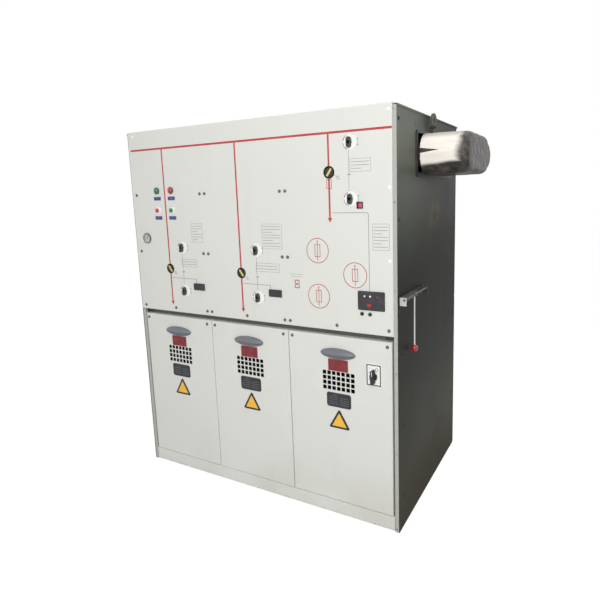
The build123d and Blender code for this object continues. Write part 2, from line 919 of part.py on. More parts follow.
# Release lever: bracket, shaft, hanging rod and ball
def lever_bracket():
    x0 = cabinet_width / 2
    y0 = from_front(lever_bracket_front)
    y1 = y0 + lever_bracket_length
    wall = lever_bracket_wall
    half = wall / 2
    points = [
        (x0 + lever_bracket_reach, y0 + half),
        (x0 + half, y0 + half),
        (x0 + half, y1 - half),
        (x0 + lever_bracket_reach, y1 - half),
    ]
    section = Pos(0, 0, lever_bracket_z) * folded_strip(points, wall, 3.0)
    bracket = extrude(section, amount=lever_bracket_height)
    hole = lever_shaft_radius + running_clearance
    return bracket - drum(hole, x0 + lever_shaft_offset, back, lever_shaft_z, 2 * cabinet_depth)


def lever_shaft_and_rod():
    x = cabinet_width / 2 + lever_shaft_offset
    y0 = from_front(lever_bracket_front - 4.0)
    y1 = from_front(lever_bracket_front + lever_bracket_length + 4.0)
    shaft = drum(lever_shaft_radius, x, y1, lever_shaft_z, y1 - y0)
    hub_y = from_front(lever_hub_y)
    hub = drum(lever_hub_radius, x, hub_y + lever_hub_length / 2, lever_shaft_z, lever_hub_length)
    rod_length = lever_shaft_z - lever_ball_z - lever_ball_radius * 0.4
    rod_middle = lever_shaft_z - rod_length / 2
    rod = Pos(x, hub_y, rod_middle) * Cylinder(lever_rod_radius, rod_length)
    return shaft + hub + rod


def lever_ball():
    x = cabinet_width / 2 + lever_shaft_offset
    hub_y = from_front(lever_hub_y)
    ball = Pos(x, hub_y, lever_ball_z) * Sphere(lever_ball_radius)
    rod_end = lever_ball_z + lever_ball_radius * 0.4
    bore = Pos(x, hub_y, rod_end + lever_ball_radius) * Cylinder(lever_rod_radius, 2 * lever_ball_radius)
    return ball - bore


parts = {
    "base_frame": base_frame(),
    "kick_plate": kick_plate(),
    "floor_plate": floor_plate(),
    "side_panel_left": side_panel(-1),
    "side_panel_right": side_panel(1),
    "roof_panel": roof_panel(),
    "rear_panel_lower": rear_panel(kick_plate_floor_gap, mimic_bottom),
    "rear_panel_upper": rear_panel(mimic_bottom + hidden_seam, panel_top),
    "front_post_left": front_post(-1),
    "front_post_right": front_post(1),
    "header_rail": header_rail(),
    "middle_rail": middle_rail(),
    "cover_dividers": cover_dividers(),
    "mimic_panel": mimic_panel(),
    "socket_escutcheons": socket_escutcheons(),
    "indicator_cups": indicator_cups(),
    "green_lamp": signal_lamp(lamp_columns[0]),
    "red_lamp": signal_lamp(lamp_columns[1]),
    "button_bezels": button_bezels(),
    "open_button": push_button(lamp_columns[0]),
    "close_button": push_button(lamp_columns[1]),
    "pressure_gauge": pressure_gauge(),
    "voltage_indicators": voltage_indicators(),
    "fault_indicator": fault_indicator(),
    "test_sockets": test_sockets(),
    "trip_sleeve": trip_sleeve(),
    "trip_button": trip_button(),
    "cable_cover_left": cable_cover(0),
    "cable_cover_middle": cable_cover(1),
    "cable_cover_right": cable_cover(2),
    "vent_grille_left": vent_grille(0),
    "vent_grille_middle": vent_grille(1),
    "vent_grille_right": vent_grille(2),
    "cover_grips": cover_grips(),
    "red_plates": red_plates(),
    "rating_plates": rating_plates(),
    "triangle_plates": triangle_plates(),
    "cam_switch_plate": cam_switch_plate(),
    "cam_switch_knob": cam_switch_knob(),
    "gas_tank": gas_tank(),
    "busbar_bushings": busbar_bushings(),
    "busbar_wrap": busbar_wrap(),
    "opening_edging": opening_edging(),
    "lifting_lugs": lifting_lugs(),
    "lever_bracket": lever_bracket(),
    "lever_rod": lever_shaft_and_rod(),
    "lever_ball": lever_ball(),
}
for name, place in socket_places.items():
    parts[name + "_drive"] = drive_boss(place)
for name, place in indicator_places.items():
    parts[name + "_position_disc"] = position_disc(place, indicator_tilt[name])

os.makedirs("parts", exist_ok=True)
for name, shape in parts.items():
    export_step(shape, "parts/" + name + ".step")
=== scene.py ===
"""Dresses the ring main unit: finishes for the solids, the printed mimic diagram, screws and film."""
import logging
import math
from collections.abc import Callable
from dataclasses import dataclass, field
from enum import Enum

import bmesh
import bpy
from mathutils import Euler, Matrix, Vector


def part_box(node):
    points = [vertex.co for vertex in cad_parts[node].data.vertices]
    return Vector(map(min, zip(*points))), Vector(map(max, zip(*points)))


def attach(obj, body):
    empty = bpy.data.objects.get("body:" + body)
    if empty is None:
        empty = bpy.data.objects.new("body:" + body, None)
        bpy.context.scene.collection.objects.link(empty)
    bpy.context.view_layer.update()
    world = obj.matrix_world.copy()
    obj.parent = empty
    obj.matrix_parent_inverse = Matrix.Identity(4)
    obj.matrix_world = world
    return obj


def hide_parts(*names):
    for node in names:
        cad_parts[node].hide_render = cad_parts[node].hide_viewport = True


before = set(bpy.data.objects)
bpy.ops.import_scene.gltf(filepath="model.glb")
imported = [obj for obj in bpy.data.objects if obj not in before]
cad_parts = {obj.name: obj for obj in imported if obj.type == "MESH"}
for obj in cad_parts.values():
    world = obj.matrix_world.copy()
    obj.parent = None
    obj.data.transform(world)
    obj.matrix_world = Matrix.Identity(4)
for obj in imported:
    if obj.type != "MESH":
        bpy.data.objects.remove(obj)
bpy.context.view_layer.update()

LOG = logging.getLogger("ring_main_unit")
MM = 0.001
CABINET = "cabinet"
FRONT_TURN = (math.radians(90.0), 0.0, 0.0)
Tint = tuple[float, float, float, float]
Point = tuple[float, float, float]
Pair = tuple[float, float]
Piece = bpy.types.Object
Material = bpy.types.Material


def srgb(red: int, green: int, blue: int) -> Tint:
    """Linear colour of three screen values from 0 to 255."""
    def linear(value: int) -> float:
        share = value / 255.0
        return share / 12.92 if share <= 0.04045 else ((share + 0.055) / 1.055) ** 2.4
    return (linear(red), linear(green), linear(blue), 1.0)


DUST = srgb(176, 172, 160)
DRY_DUST = srgb(150, 146, 136)
SCUFF = srgb(90, 87, 80)
# Brown of a painted reflection on the dark panels.
BROWN_REFLECTION = srgb(104, 88, 62)

# Shader maths


class Wire:
    """A node socket's output, on which arithmetic adds Math nodes."""

    def __init__(self, graph: "Graph", socket: bpy.types.NodeSocket) -> None:
        """Keeps the socket and the graph that it is in."""
        self.graph = graph
        self.socket = socket

    def math(self, operation: str, *values: "Wire | float", swap: bool = False) -> "Wire":
        """One Math node on this wire.

        Args:
            operation: the node's operation.
            values: its other inputs.
            swap: whether this wire comes second.

        Returns:
            The node's result.
        """
        operands = [*values, self] if swap else [self, *values]
        sockets = dict(enumerate(operands))
        return self.graph.node("ShaderNodeMath", sockets, operation=operation)

    def __add__(self, other: "Wire | float") -> "Wire":
        """Sum."""
        return self.math("ADD", other)

    __radd__ = __add__

    def __mul__(self, other: "Wire | float") -> "Wire":
        """Product."""
        return self.math("MULTIPLY", other)

    __rmul__ = __mul__

    def __sub__(self, other: "Wire | float") -> "Wire":
        """Difference."""
        return self.math("SUBTRACT", other)

    def __rsub__(self, other: "Wire | float") -> "Wire":
        """Difference from a number."""
        return self.math("SUBTRACT", other, swap=True)

    def __gt__(self, other: "Wire | float") -> "Wire":
        """1 where this is more, else 0."""
        return self.math("GREATER_THAN", other)

    def __lt__(self, other: "Wire | float") -> "Wire":
        """1 where this is less, else 0."""
        return self.math("LESS_THAN", other)

    def ramp(self, low: float, high: float) -> "Wire":
        """0 at low, 1 at high, eased between them."""
        sockets = {"Value": self, "From Min": low, "From Max": high}
        return self.graph.node("ShaderNodeMapRange", sockets, interpolation_type="SMOOTHSTEP")


class Graph:
    """A material's nodes, with one method that adds any of them."""

    def __init__(self, name: str) -> None:
        """Starts a material with its shader."""
        self.material = bpy.data.materials.new(name)
        self.material.use_nodes = True
        self.tree = self.material.node_tree
        self.shader = next(n for n in self.tree.nodes if n.type == "BSDF_PRINCIPLED")

    def node(
        self,
        kind: str,
        sockets: "dict[str | int, Wire | float | tuple[float, ...]] | None" = None,
        output: "str | int" = 0,
        **settings: object,
    ) -> Wire:
        """Adds a node.

        Args:
            kind: the node's type name.
            sockets: values or wires of its inputs, by name or number.
            output: which output to return.
            settings: the node's own settings.

        Returns:
            The chosen output.
        """
        made = self.tree.nodes.new(kind)
        for key, value in settings.items():
            setattr(made, key, value)
        for key, value in (sockets or {}).items():
            self.feed(made.inputs[key], value)
        return Wire(self, made.outputs[output])

    def feed(self, socket: bpy.types.NodeSocket, value: object) -> None:
        """Links a wire to a socket, or sets its value."""
        if isinstance(value, Wire):
            self.tree.links.new(value.socket, socket)
        else:
            socket.default_value = value

    def place(self, scale: tuple[float, float, float] = (1.0, 1.0, 1.0)) -> Wire:
        """Object coordinates, stretched by a scale."""
        here = self.node("ShaderNodeTexCoord", output="Object")
        return self.node("ShaderNodeMapping", {"Vector": here, "Scale": scale})

    def height(self, axis: str = "Z") -> Wire:
        """One object coordinate in metres."""
        return self.node("ShaderNodeSeparateXYZ", {"Vector": self.place()}, output=axis)

    def noise(self, where: Wire, scale: float, detail: float = 3.0) -> Wire:
        """Fractal noise from 0 to 1."""
        sockets = {"Vector": where, "Scale": scale, "Detail": detail}
        return self.node("ShaderNodeTexNoise", sockets, output=0)

    def cells(self, where: Wire, scale: float) -> Wire:
        """A random grey for each Voronoi cell."""
        colour = self.node("ShaderNodeTexVoronoi", {"Vector": where, "Scale": scale}, output="Color")
        return self.node("ShaderNodeSeparateColor", {"Color": colour}, output=0)

    def blend(self, share: "Wire | float", first: "Wire | Tint", second: "Wire | Tint") -> Wire:
        """Colour mix from the first to the second."""
        return self.node("ShaderNodeMix", {0: share, 6: first, 7: second}, output=2, data_type="RGBA")

    def dress(
        self, height: "Wire | None" = None, depth: float = 0.0, **sockets: object
    ) -> Material:
        """Feeds the shader.

        Args:
            height: relief from 0 to 1, or None for none.
            depth: the relief's depth in metres.
            sockets: the shader's inputs, with underscores for spaces.

        Returns:
            The material.
        """
        for key, value in sockets.items():
            self.feed(self.shader.inputs[key.replace("_", " ")], value)
        if height is not None:
            relief = {"Height": height, "Distance": depth, "Strength": 1.0}
            self.feed(self.shader.inputs["Normal"], self.node("ShaderNodeBump", relief))
        return self.material


# Finishes


@dataclass(frozen=True)
class PowderCoat:
    """Baked powder paint: orange peel, faint mottling, soil low down and scuffs near the floor, with optional
    painted reflections at the top, near the floor and at one place, and optional painted shade behind a given
    depth.
    """

    name: str
    tint: Tint
    soil: Tint
    roughness: float = 0.42
    mottle: float = 0.5
    stains: float = 0.0
    scuffs: float = 0.25
    gloss: float = 0.5
    upper: "Tint | None" = None
    lower: "Tint | None" = None
    recess: "Tint | None" = None
    recess_shade_y: float = 0.0
    reflection_spot: "Pair | None" = None

    def make(self) -> Material:
        """Builds the material."""
        graph = Graph(self.name)
        here, height, back = graph.place(), graph.height(), graph.height("Y")
        low = 1 - height.ramp(0.0, 0.30)
        broad = graph.noise(here, 2.4, 4.0).ramp(0.35, 0.75)
        runs = graph.noise(graph.place((14.0, 14.0, 1.1)), 1.6, 3.0).ramp(0.52, 0.80)
        patch = graph.noise(here, 7.0, 5.0).ramp(0.60, 0.78)
        share = broad * (0.12 * self.mottle) + runs * (0.10 * self.mottle) + low * broad * 0.30
        share = share + patch * self.stains
        base: "Wire | Tint" = self.tint
        # Painted reflection: lighter towards the top and the front of the panel.
        if self.upper:
            base = graph.blend(height.ramp(0.95, 1.58) * (1 - back.ramp(-0.38, 0.30)), base, self.upper)
        # Painted reflection: lighter near the floor.
        if self.lower:
            base = graph.blend(1 - height.ramp(0.10, 0.70), base, self.lower)
        # Painted shade: darker behind a given depth, where a part sits back in shade.
        if self.recess:
            base = graph.blend(back > self.recess_shade_y, base, self.recess)
        colour = graph.blend(share, base, self.soil)
        # Painted reflection: a brown patch at one place on the dark panels.
        if self.reflection_spot:
            off_y = (back - self.reflection_spot[0]).math("ABSOLUTE").ramp(0.02, 0.13)
            off_z = (height - self.reflection_spot[1]).math("ABSOLUTE").ramp(0.02, 0.11)
            reflection_patch = (1 - off_y) * (1 - off_z) * graph.noise(here, 22.0, 4.0).ramp(0.35, 0.65)
            colour = graph.blend(reflection_patch * 0.55, colour, BROWN_REFLECTION)
        scuffed = (graph.noise(here, 60.0, 4.0) > 0.60) * (1 - height.ramp(0.003, 0.022))
        colour = graph.blend(scuffed * self.scuffs, colour, SCUFF)
        rough = self.roughness + broad * 0.08 + low * 0.15 + patch * 0.06
        peel = graph.noise(here, 420.0, 2.0)
        graph.feed(graph.shader.inputs["Specular IOR Level"], self.gloss)
        return graph.dress(peel, 0.00022, Base_Color=colour, Roughness=rough)


@dataclass(frozen=True)
class ZincSheet:
    """Zinc-coated or plain sheet steel with its spangle and fine scratches."""

    name: str
    tint: Tint
    roughness: float = 0.38
    spangle: float = 90.0

    def make(self) -> Material:
        """Builds the material."""
        graph = Graph(self.name)
        here = graph.place()
        grain = graph.cells(here, self.spangle)
        film = graph.noise(here, 9.0, 4.0).ramp(0.45, 0.75)
        dark = tuple(0.55 * c for c in self.tint[:3]) + (1.0,)
        colour = graph.blend(grain * 0.25 + film * 0.35, self.tint, dark)
        rough = self.roughness + grain * 0.10 + film * 0.15
        scratches = graph.noise(graph.place((30.0, 600.0, 30.0)), 1.0, 2.0)
        return graph.dress(scratches, 0.00005, Base_Color=colour, Roughness=rough, Metallic=0.85)


@dataclass(frozen=True)
class Moulding:
    """Moulded plastic or an enamelled plate: fine grain, handling gloss and dust."""

    name: str
    tint: Tint
    roughness: float = 0.45
    grain: float = 0.00005
    dust: float = 0.06
    coat: float = 0.0

    def make(self) -> Material:
        """Builds the material."""
        graph = Graph(self.name)
        here = graph.place()
        wear = graph.noise(here, 35.0, 4.0).ramp(0.45, 0.80)
        colour = graph.blend(wear * self.dust, self.tint, DUST)
        rough = self.roughness + wear * 0.14
        fine = graph.noise(here, 1500.0, 1.0)
        return graph.dress(fine, self.grain, Base_Color=colour, Roughness=rough, Coat_Weight=self.coat)


@dataclass(frozen=True)
class TwoTone:
    """Two colours, split at a place along one axis; the second is on the lower side."""

    name: str
    tint: Tint
    low_tint: Tint
    split: float
    axis: str = "Y"
    roughness: float = 0.38

    def make(self) -> Material:
        """Builds the material."""
        graph = Graph(self.name)
        here = graph.place()
        wear = graph.noise(here, 60.0, 4.0).ramp(0.50, 0.85)
        colour = graph.blend(graph.height(self.axis) < self.split, self.tint, self.low_tint)
        colour = graph.blend(wear * 0.10, colour, DRY_DUST)
        fine = graph.noise(here, 1500.0, 1.0)
        return graph.dress(fine, 0.00004, Base_Color=colour, Roughness=self.roughness + wear * 0.15)


@dataclass(frozen=True)
class LampLens:
    """A clear coloured lens, darker where it is deep, with moulded facets."""

    name: str
    tint: Tint
    deep: Tint

    def make(self) -> Material:
        """Builds the material."""
        graph = Graph(self.name)
        here = graph.place()
        facets = graph.cells(here, 420.0)
        colour = graph.blend(facets * 0.6, self.tint, self.deep)
        rough = 0.12 + facets * 0.10
        return graph.dress(facets, 0.0002, Base_Color=colour, Roughness=rough, Coat_Weight=0.8)


@dataclass(frozen=True)
class PackingFilm:
    """Stretched packing film: white on top where layers lie; grey-brown below and at its end, where single
    layers show the dark bushings through and where painted shade darkens the faces turned from the light.
    """

    name: str
    white: Tint
    smoke_and_shade: Tint
    end_x: float
    edge_z: float
    slit_shade_at: Pair

    def make(self) -> Material:
        """Builds the material."""
        graph = Graph(self.name)
        reach, height = graph.height("X"), graph.height()
        folds = graph.noise(graph.place((5.0, 22.0, 22.0)), 1.0, 5.0)
        across = reach + (folds - 0.5) * 0.05
        # Partly painted shade: grey-brown at the end and along the underside, where single layers show the
        # dark bushings and the faces turned from the light are in shade.
        at_end = across.ramp(self.end_x - 0.055, self.end_x - 0.020)
        ragged = height + (folds - 0.5) * 0.03 - (reach - self.end_x) * 0.10
        below = 1 - ragged.ramp(self.edge_z - 0.008, self.edge_z + 0.008)
        thin_and_shaded = at_end.math("MAXIMUM", below)
        streak = graph.noise(graph.place((6.0, 50.0, 50.0)), 1.0, 4.0).ramp(0.50, 0.72)
        colour = graph.blend(streak * 0.16, self.white, srgb(186, 182, 174))
        patches = graph.noise(graph.place(), 26.0, 4.0).ramp(0.35, 0.70)
        smoky_and_shaded = graph.blend(patches * 0.45, self.smoke_and_shade, srgb(132, 125, 118))
        colour = graph.blend(thin_and_shaded, colour, smoky_and_shaded)
        # Painted shade: a near-black tapering strip where the film parts between the bushings and the inside
        # lies in shade.
        slit_shade_wedge = (self.slit_shade_at[0] - reach + (folds - 0.5) * 0.02) * 0.14
        off_middle = (height - self.slit_shade_at[1]).math("ABSOLUTE")
        colour = graph.blend(off_middle < slit_shade_wedge, colour, srgb(38, 32, 28))
        # Painted shade: greyer along the top edge, where the film turns away from the light.
        high = height.ramp(self.edge_z + 0.076, self.edge_z + 0.098)
        colour = graph.blend(high * 0.9 * (1 - thin_and_shaded), colour, srgb(170, 161, 150))
        rough = 0.34 + folds * 0.25
        crease = graph.noise(graph.place((9.0, 60.0, 60.0)), 1.0, 6.0)
        graph.feed(graph.shader.inputs["Specular IOR Level"], 0.3)
        return graph.dress(crease, 0.004, Base_Color=colour, Roughness=rough, Coat_Weight=0.15)


class Paint(Enum):
    """Every finish on the cabinet."""

    LIGHT = PowderCoat("light_grey_paint", srgb(224, 225, 219), srgb(180, 176, 163))
    # Posts: light grey at the front face; the flanges behind it are painted shade, dark as a recess in shade.
    POST = PowderCoat(
        "post_paint_and_painted_shade", srgb(180, 181, 175), DUST, recess=srgb(66, 68, 66), recess_shade_y=-0.3835
    )
    # Sides, roof, rear and lugs: grey-green paint whose tint is darkened far below the front's as painted
    # shade on faces turned away from the light.
    DARK = PowderCoat(
        "grey_green_paint_and_painted_shade", srgb(29, 33, 25), srgb(70, 62, 47), roughness=0.42, mottle=1.6, stains=0.25,
        gloss=0.12, upper=srgb(113, 118, 107), lower=srgb(64, 63, 53), reflection_spot=(0.052, 1.224),
    )
    # Middle rail: mid grey as painted shade in the dark recess under the upper panel.
    RAIL = PowderCoat("rail_painted_shade", srgb(98, 101, 96), srgb(74, 70, 60))
    ZINC = ZincSheet("zinc_sheet", srgb(186, 189, 190))
    TANK = ZincSheet("stainless_sheet", srgb(176, 178, 178), roughness=0.30, spangle=12.0)
    SCREW = ZincSheet("screw_heads", srgb(124, 126, 126), roughness=0.42, spangle=300.0)
    BLACK = Moulding("black_moulding", srgb(34, 34, 36))
    CHARCOAL = Moulding("charcoal_face", srgb(56, 56, 60), roughness=0.34)
    WHITE = Moulding("white_moulding", srgb(250, 250, 248), dust=0.04)
    DRIVE = Moulding("drive_moulding", srgb(58, 64, 60), roughness=0.34)
    RIM = Moulding("grey_rim", srgb(98, 99, 102), roughness=0.36)
    CASE = Moulding("dark_case", srgb(52, 52, 56), roughness=0.40)
    GRIP = Moulding("grey_grip", srgb(113, 117, 123), roughness=0.38, grain=0.00008)
    MAROON = Moulding("maroon_plate", srgb(126, 38, 45), roughness=0.40, dust=0.10)
    NIGHT = Moulding("night_plate", srgb(44, 45, 50), roughness=0.36)
    YELLOW = Moulding("yellow_plate", srgb(247, 190, 62), roughness=0.42, dust=0.08)
    RED_CAP = Moulding("red_cap", srgb(206, 40, 48), roughness=0.25, coat=0.5)
    BALL = Moulding("red_ball", srgb(172, 22, 36), roughness=0.18, coat=0.7, dust=0.02)
    GREEN_CAP = Moulding("green_cap", srgb(24, 132, 88), roughness=0.25, coat=0.5)
    ROSE_CAP = Moulding("rose_cap", srgb(224, 84, 128), roughness=0.28, coat=0.4)
    RED_INK = Moulding("red_ink", srgb(188, 56, 62), roughness=0.40, dust=0.12)
    GREY_INK = Moulding("grey_ink", srgb(136, 138, 138), roughness=0.45)
    PALE_INK = Moulding("pale_ink", srgb(160, 162, 159), roughness=0.45)
    DARK_INK = Moulding("dark_ink", srgb(48, 49, 50), roughness=0.42)
    BLUE = Moulding("blue_label", srgb(52, 42, 132), roughness=0.34)
    DIAL = Moulding("dial_face", srgb(196, 197, 196), roughness=0.30, coat=0.8)
    RESIN = Moulding("brown_resin", srgb(92, 56, 40), roughness=0.40)
    GREEN_LENS = LampLens("green_lens", srgb(12, 128, 82), srgb(4, 70, 48))
    RED_LENS = LampLens("red_lens", srgb(206, 36, 34), srgb(120, 14, 16))


Finish = Paint | PackingFilm | TwoTone
MADE: dict[str, Material] = {}


def finish_of(paint: Finish) -> Material:
    """The finish's material, made once."""
    recipe = paint.value if isinstance(paint, Paint) else paint
    if recipe.name not in MADE:
        MADE[recipe.name] = recipe.make()
    return MADE[recipe.name]


# Modelling


def from_left(distance: float) -> float:
    """X in metres of a place in millimetres from the cabinet's left side."""
    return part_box("side_panel_left")[0][0] + distance * MM


def front_of(node: str, proud: float = 0.0) -> float:
    """Y in metres of a node's front, or of a place some millimetres proud of it."""
    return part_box(node)[0][1] - proud * MM


def deselect() -> None:
    """Leaves nothing selected, in object mode."""
    if bpy.context.mode != "OBJECT":
        bpy.ops.object.mode_set(mode="OBJECT")
    bpy.ops.object.select_all(action="DESELECT")


class Blank:
    """A piece on the bench: an object in edit mode that operators add to and shape.

    X and Z are in millimetres, from the piece's origin and from the floor, and so are sizes.
    Y is in metres, as the solids' boxes give it.
    """

    def __init__(self, name: str, origin: "float | None" = None) -> None:
        """Starts an empty piece and opens it.

        Args:
            name: the piece's name.
            origin: X in metres that it is measured from, or None for the cabinet's left side.
        """
        deselect()
        self.origin = from_left(0.0) if origin is None else origin
        self.piece = bpy.data.objects.new(name, bpy.data.meshes.new(name))
        bpy.context.scene.collection.objects.link(self.piece)
        self.piece.select_set(True)
        bpy.context.view_layer.objects.active = self.piece
        bpy.ops.object.mode_set(mode="EDIT")

    def at(self, x: float, z: float, y: float) -> Point:
        """A place in metres."""
        return (self.origin + x * MM, y, z * MM)

    def loose(self) -> None:
        """Deselects every face, so that the next shape is alone."""
        bpy.ops.mesh.select_all(action="DESELECT")

    def pick(self, wanted: Callable[[bmesh.types.BMEdge], bool]) -> None:
        """Selects the edges that pass a test, and no others."""
        mesh = bmesh.from_edit_mesh(self.piece.data)
        for edge in mesh.edges:
            edge.select = wanted(edge)
        bmesh.update_edit_mesh(self.piece.data)

    def strip(self, x0: float, x1: float, z0: float, z1: float, y: float) -> None:
        """A flat rectangle that faces the front."""
        self.loose()
        centre = self.at((x0 + x1) / 2, (z0 + z1) / 2, y)
        bpy.ops.mesh.primitive_plane_add(size=1.0, location=centre, rotation=FRONT_TURN)
        size = ((x1 - x0) * MM, 1.0, (z1 - z0) * MM)
        bpy.ops.transform.resize(value=size, center_override=centre)

    def disc(self, x: float, z: float, radius: float, y: float, sides: int = 40, turn: float = 0.0) -> None:
        """A flat regular polygon that faces the front."""
        self.loose()
        bpy.ops.mesh.primitive_circle_add(
            vertices=sides, radius=radius * MM, fill_type="NGON", location=self.at(x, z, y),
            rotation=(FRONT_TURN[0], turn, 0.0),
        )

    def hollow(self, width: float) -> None:
        """Insets the selected face and cuts out its middle, which leaves a frame."""
        bpy.ops.mesh.select_mode(type="FACE")
        bpy.ops.mesh.inset(thickness=width * MM)
        bpy.ops.mesh.delete(type="FACE")

    def ring(self, x: float, z: float, radius: float, width: float, y: float, sides: int = 72) -> None:
        """A flat ring that faces the front."""
        self.disc(x, z, radius, y, sides)
        self.hollow(width)

    def frame(self, x0: float, x1: float, z0: float, z1: float, width: float, y: float) -> None:
        """A flat rectangular outline that faces the front."""
        self.strip(x0, x1, z0, z1, y)
        self.hollow(width)

    def arc(
        self, x: float, z: float, radius: float, width: float, y: float, start: float, end: float
    ) -> None:
        """Part of a flat ring, between two angles in degrees from +X towards +Z."""
        self.ring(x, z, radius, width, y)
        mesh = bmesh.from_edit_mesh(self.piece.data)
        hub = Vector(self.at(x, z, y))
        for face in mesh.faces:
            middle = face.calc_center_median() - hub
            angle = math.degrees(math.atan2(middle.z, middle.x))
            here = middle.length < 1.05 * radius * MM
            face.select = here and (angle - start) % 360.0 > end - start
        bmesh.update_edit_mesh(self.piece.data)
        bpy.ops.mesh.delete(type="FACE")

    def slope(self, start: Pair, end: Pair, width: float, y: float) -> None:
        """A flat stroke between two points in X and Z."""
        run, rise = end[0] - start[0], end[1] - start[1]
        length = math.hypot(run, rise)
        centre = self.at((start[0] + end[0]) / 2, (start[1] + end[1]) / 2, y)
        self.loose()
        turn = Euler((FRONT_TURN[0], -math.atan2(rise, run), 0.0))
        bpy.ops.mesh.primitive_plane_add(size=1.0, location=centre, rotation=turn)
        mesh = bmesh.from_edit_mesh(self.piece.data)
        along = Vector((run, 0.0, rise)) / length
        up = Vector((-along.z, 0.0, along.x))
        origin = Vector(centre)
        for vertex in (v for v in mesh.verts if v.select):
            offset = vertex.co - origin
            reach, rise_by = offset.dot(along) * length * MM, offset.dot(up) * width * MM
            vertex.co = origin + along * reach + up * rise_by
        bmesh.update_edit_mesh(self.piece.data)

    def lathe(self, x: float, z: float, y: float, rings: list[Pair], sides: int = 32) -> None:
        """A turned form about a line along Y.

        Args:
            x: the axis's X.
            z: the axis's Z.
            y: where the first disc lies.
            rings: radius and distance behind y of each ring in turn; the first is the starting disc.
            sides: faces round it.
        """
        radius, at = rings[0][0], y
        self.disc(x, z, radius, y, sides)
        for next_radius, depth in rings[1:]:
            next_y = y + depth * MM
            bpy.ops.mesh.extrude_region_move(TRANSFORM_OT_translate={"value": (0.0, next_y - at, 0.0)})
            share = next_radius / radius
            bpy.ops.transform.resize(value=(share, 1.0, share), center_override=self.at(x, z, next_y))
            radius, at = next_radius, next_y

    def block(self, low: Point, high: Point, edge: float) -> None:
        """A box between two places in metres, with rounded edges."""
        self.loose()
        centre = tuple((a + b) / 2 for a, b in zip(low, high))
        size = tuple(b - a for a, b in zip(low, high))
        bpy.ops.mesh.primitive_cube_add(size=1.0, location=centre)
        bpy.ops.transform.resize(value=size, center_override=centre)
        bpy.ops.mesh.bevel(offset=edge * MM, segments=2, affect="EDGES")

    def close(self, thickness: float = 0.0, smooth: bool = False) -> Piece:
        """Ends the work on the piece.

        Args:
            thickness: how thick flat shapes become, towards the back, or 0 for a closed form.
            smooth: whether rounded faces are shaded smooth.

        Returns:
            The finished object, at the origin.
        """
        bpy.ops.mesh.select_all(action="SELECT")
        if not thickness:
            bpy.ops.mesh.normals_make_consistent(inside=False)
        bpy.ops.object.mode_set(mode="OBJECT")
        if thickness:
            modify(self.piece, "SOLIDIFY", thickness=thickness * MM, offset=-1.0)
        if smooth:
            bpy.ops.object.shade_smooth_by_angle(angle=math.radians(35.0))
        deselect()
        return self.piece


def turned(name: str, places: tuple[Pair, ...], y: float, rings: list[Pair], sides: int) -> Piece:
    """Equal turned forms at several places, as one smooth piece."""
    work = Blank(name)
    for x, z in places:
        work.lathe(x, z, y, rings, sides)
    return work.close(smooth=True)


def settle(piece: Piece, paint: Finish, body: str = CABINET) -> None:
    """Gives a new piece its finish, material slot and body, and reports it."""
    piece.data.materials.clear()
    piece.data.materials.append(finish_of(paint))
    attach(piece, body)
    LOG.info("%s: %d faces on %s", piece.name, len(piece.data.polygons), body)


def modify(piece: Piece, kind: str, **settings: object) -> None:
    """Adds a modifier to the active piece and applies it."""
    change = piece.modifiers.new(kind.lower(), kind)
    for key, value in settings.items():
        setattr(change, key, value)
    bpy.ops.object.modifier_apply(modifier=change.name)


def gather(name: str, pieces: list[Piece]) -> Piece:
    """Joins pieces into one."""
    deselect()
    for piece in pieces:
        piece.select_set(True)
    bpy.context.view_layer.objects.active = pieces[0]
    bpy.ops.object.join()
    pieces[0].name = name
    deselect()
    return pieces[0]


def copy_to(piece: Piece, matrix: Matrix) -> Piece:
    """A copy with its own mesh, moved by the matrix."""
    twin = piece.copy()
    twin.data = piece.data.copy()
    twin.data.transform(matrix)
    bpy.context.scene.collection.objects.link(twin)
    return twin


# Sub-assemblies


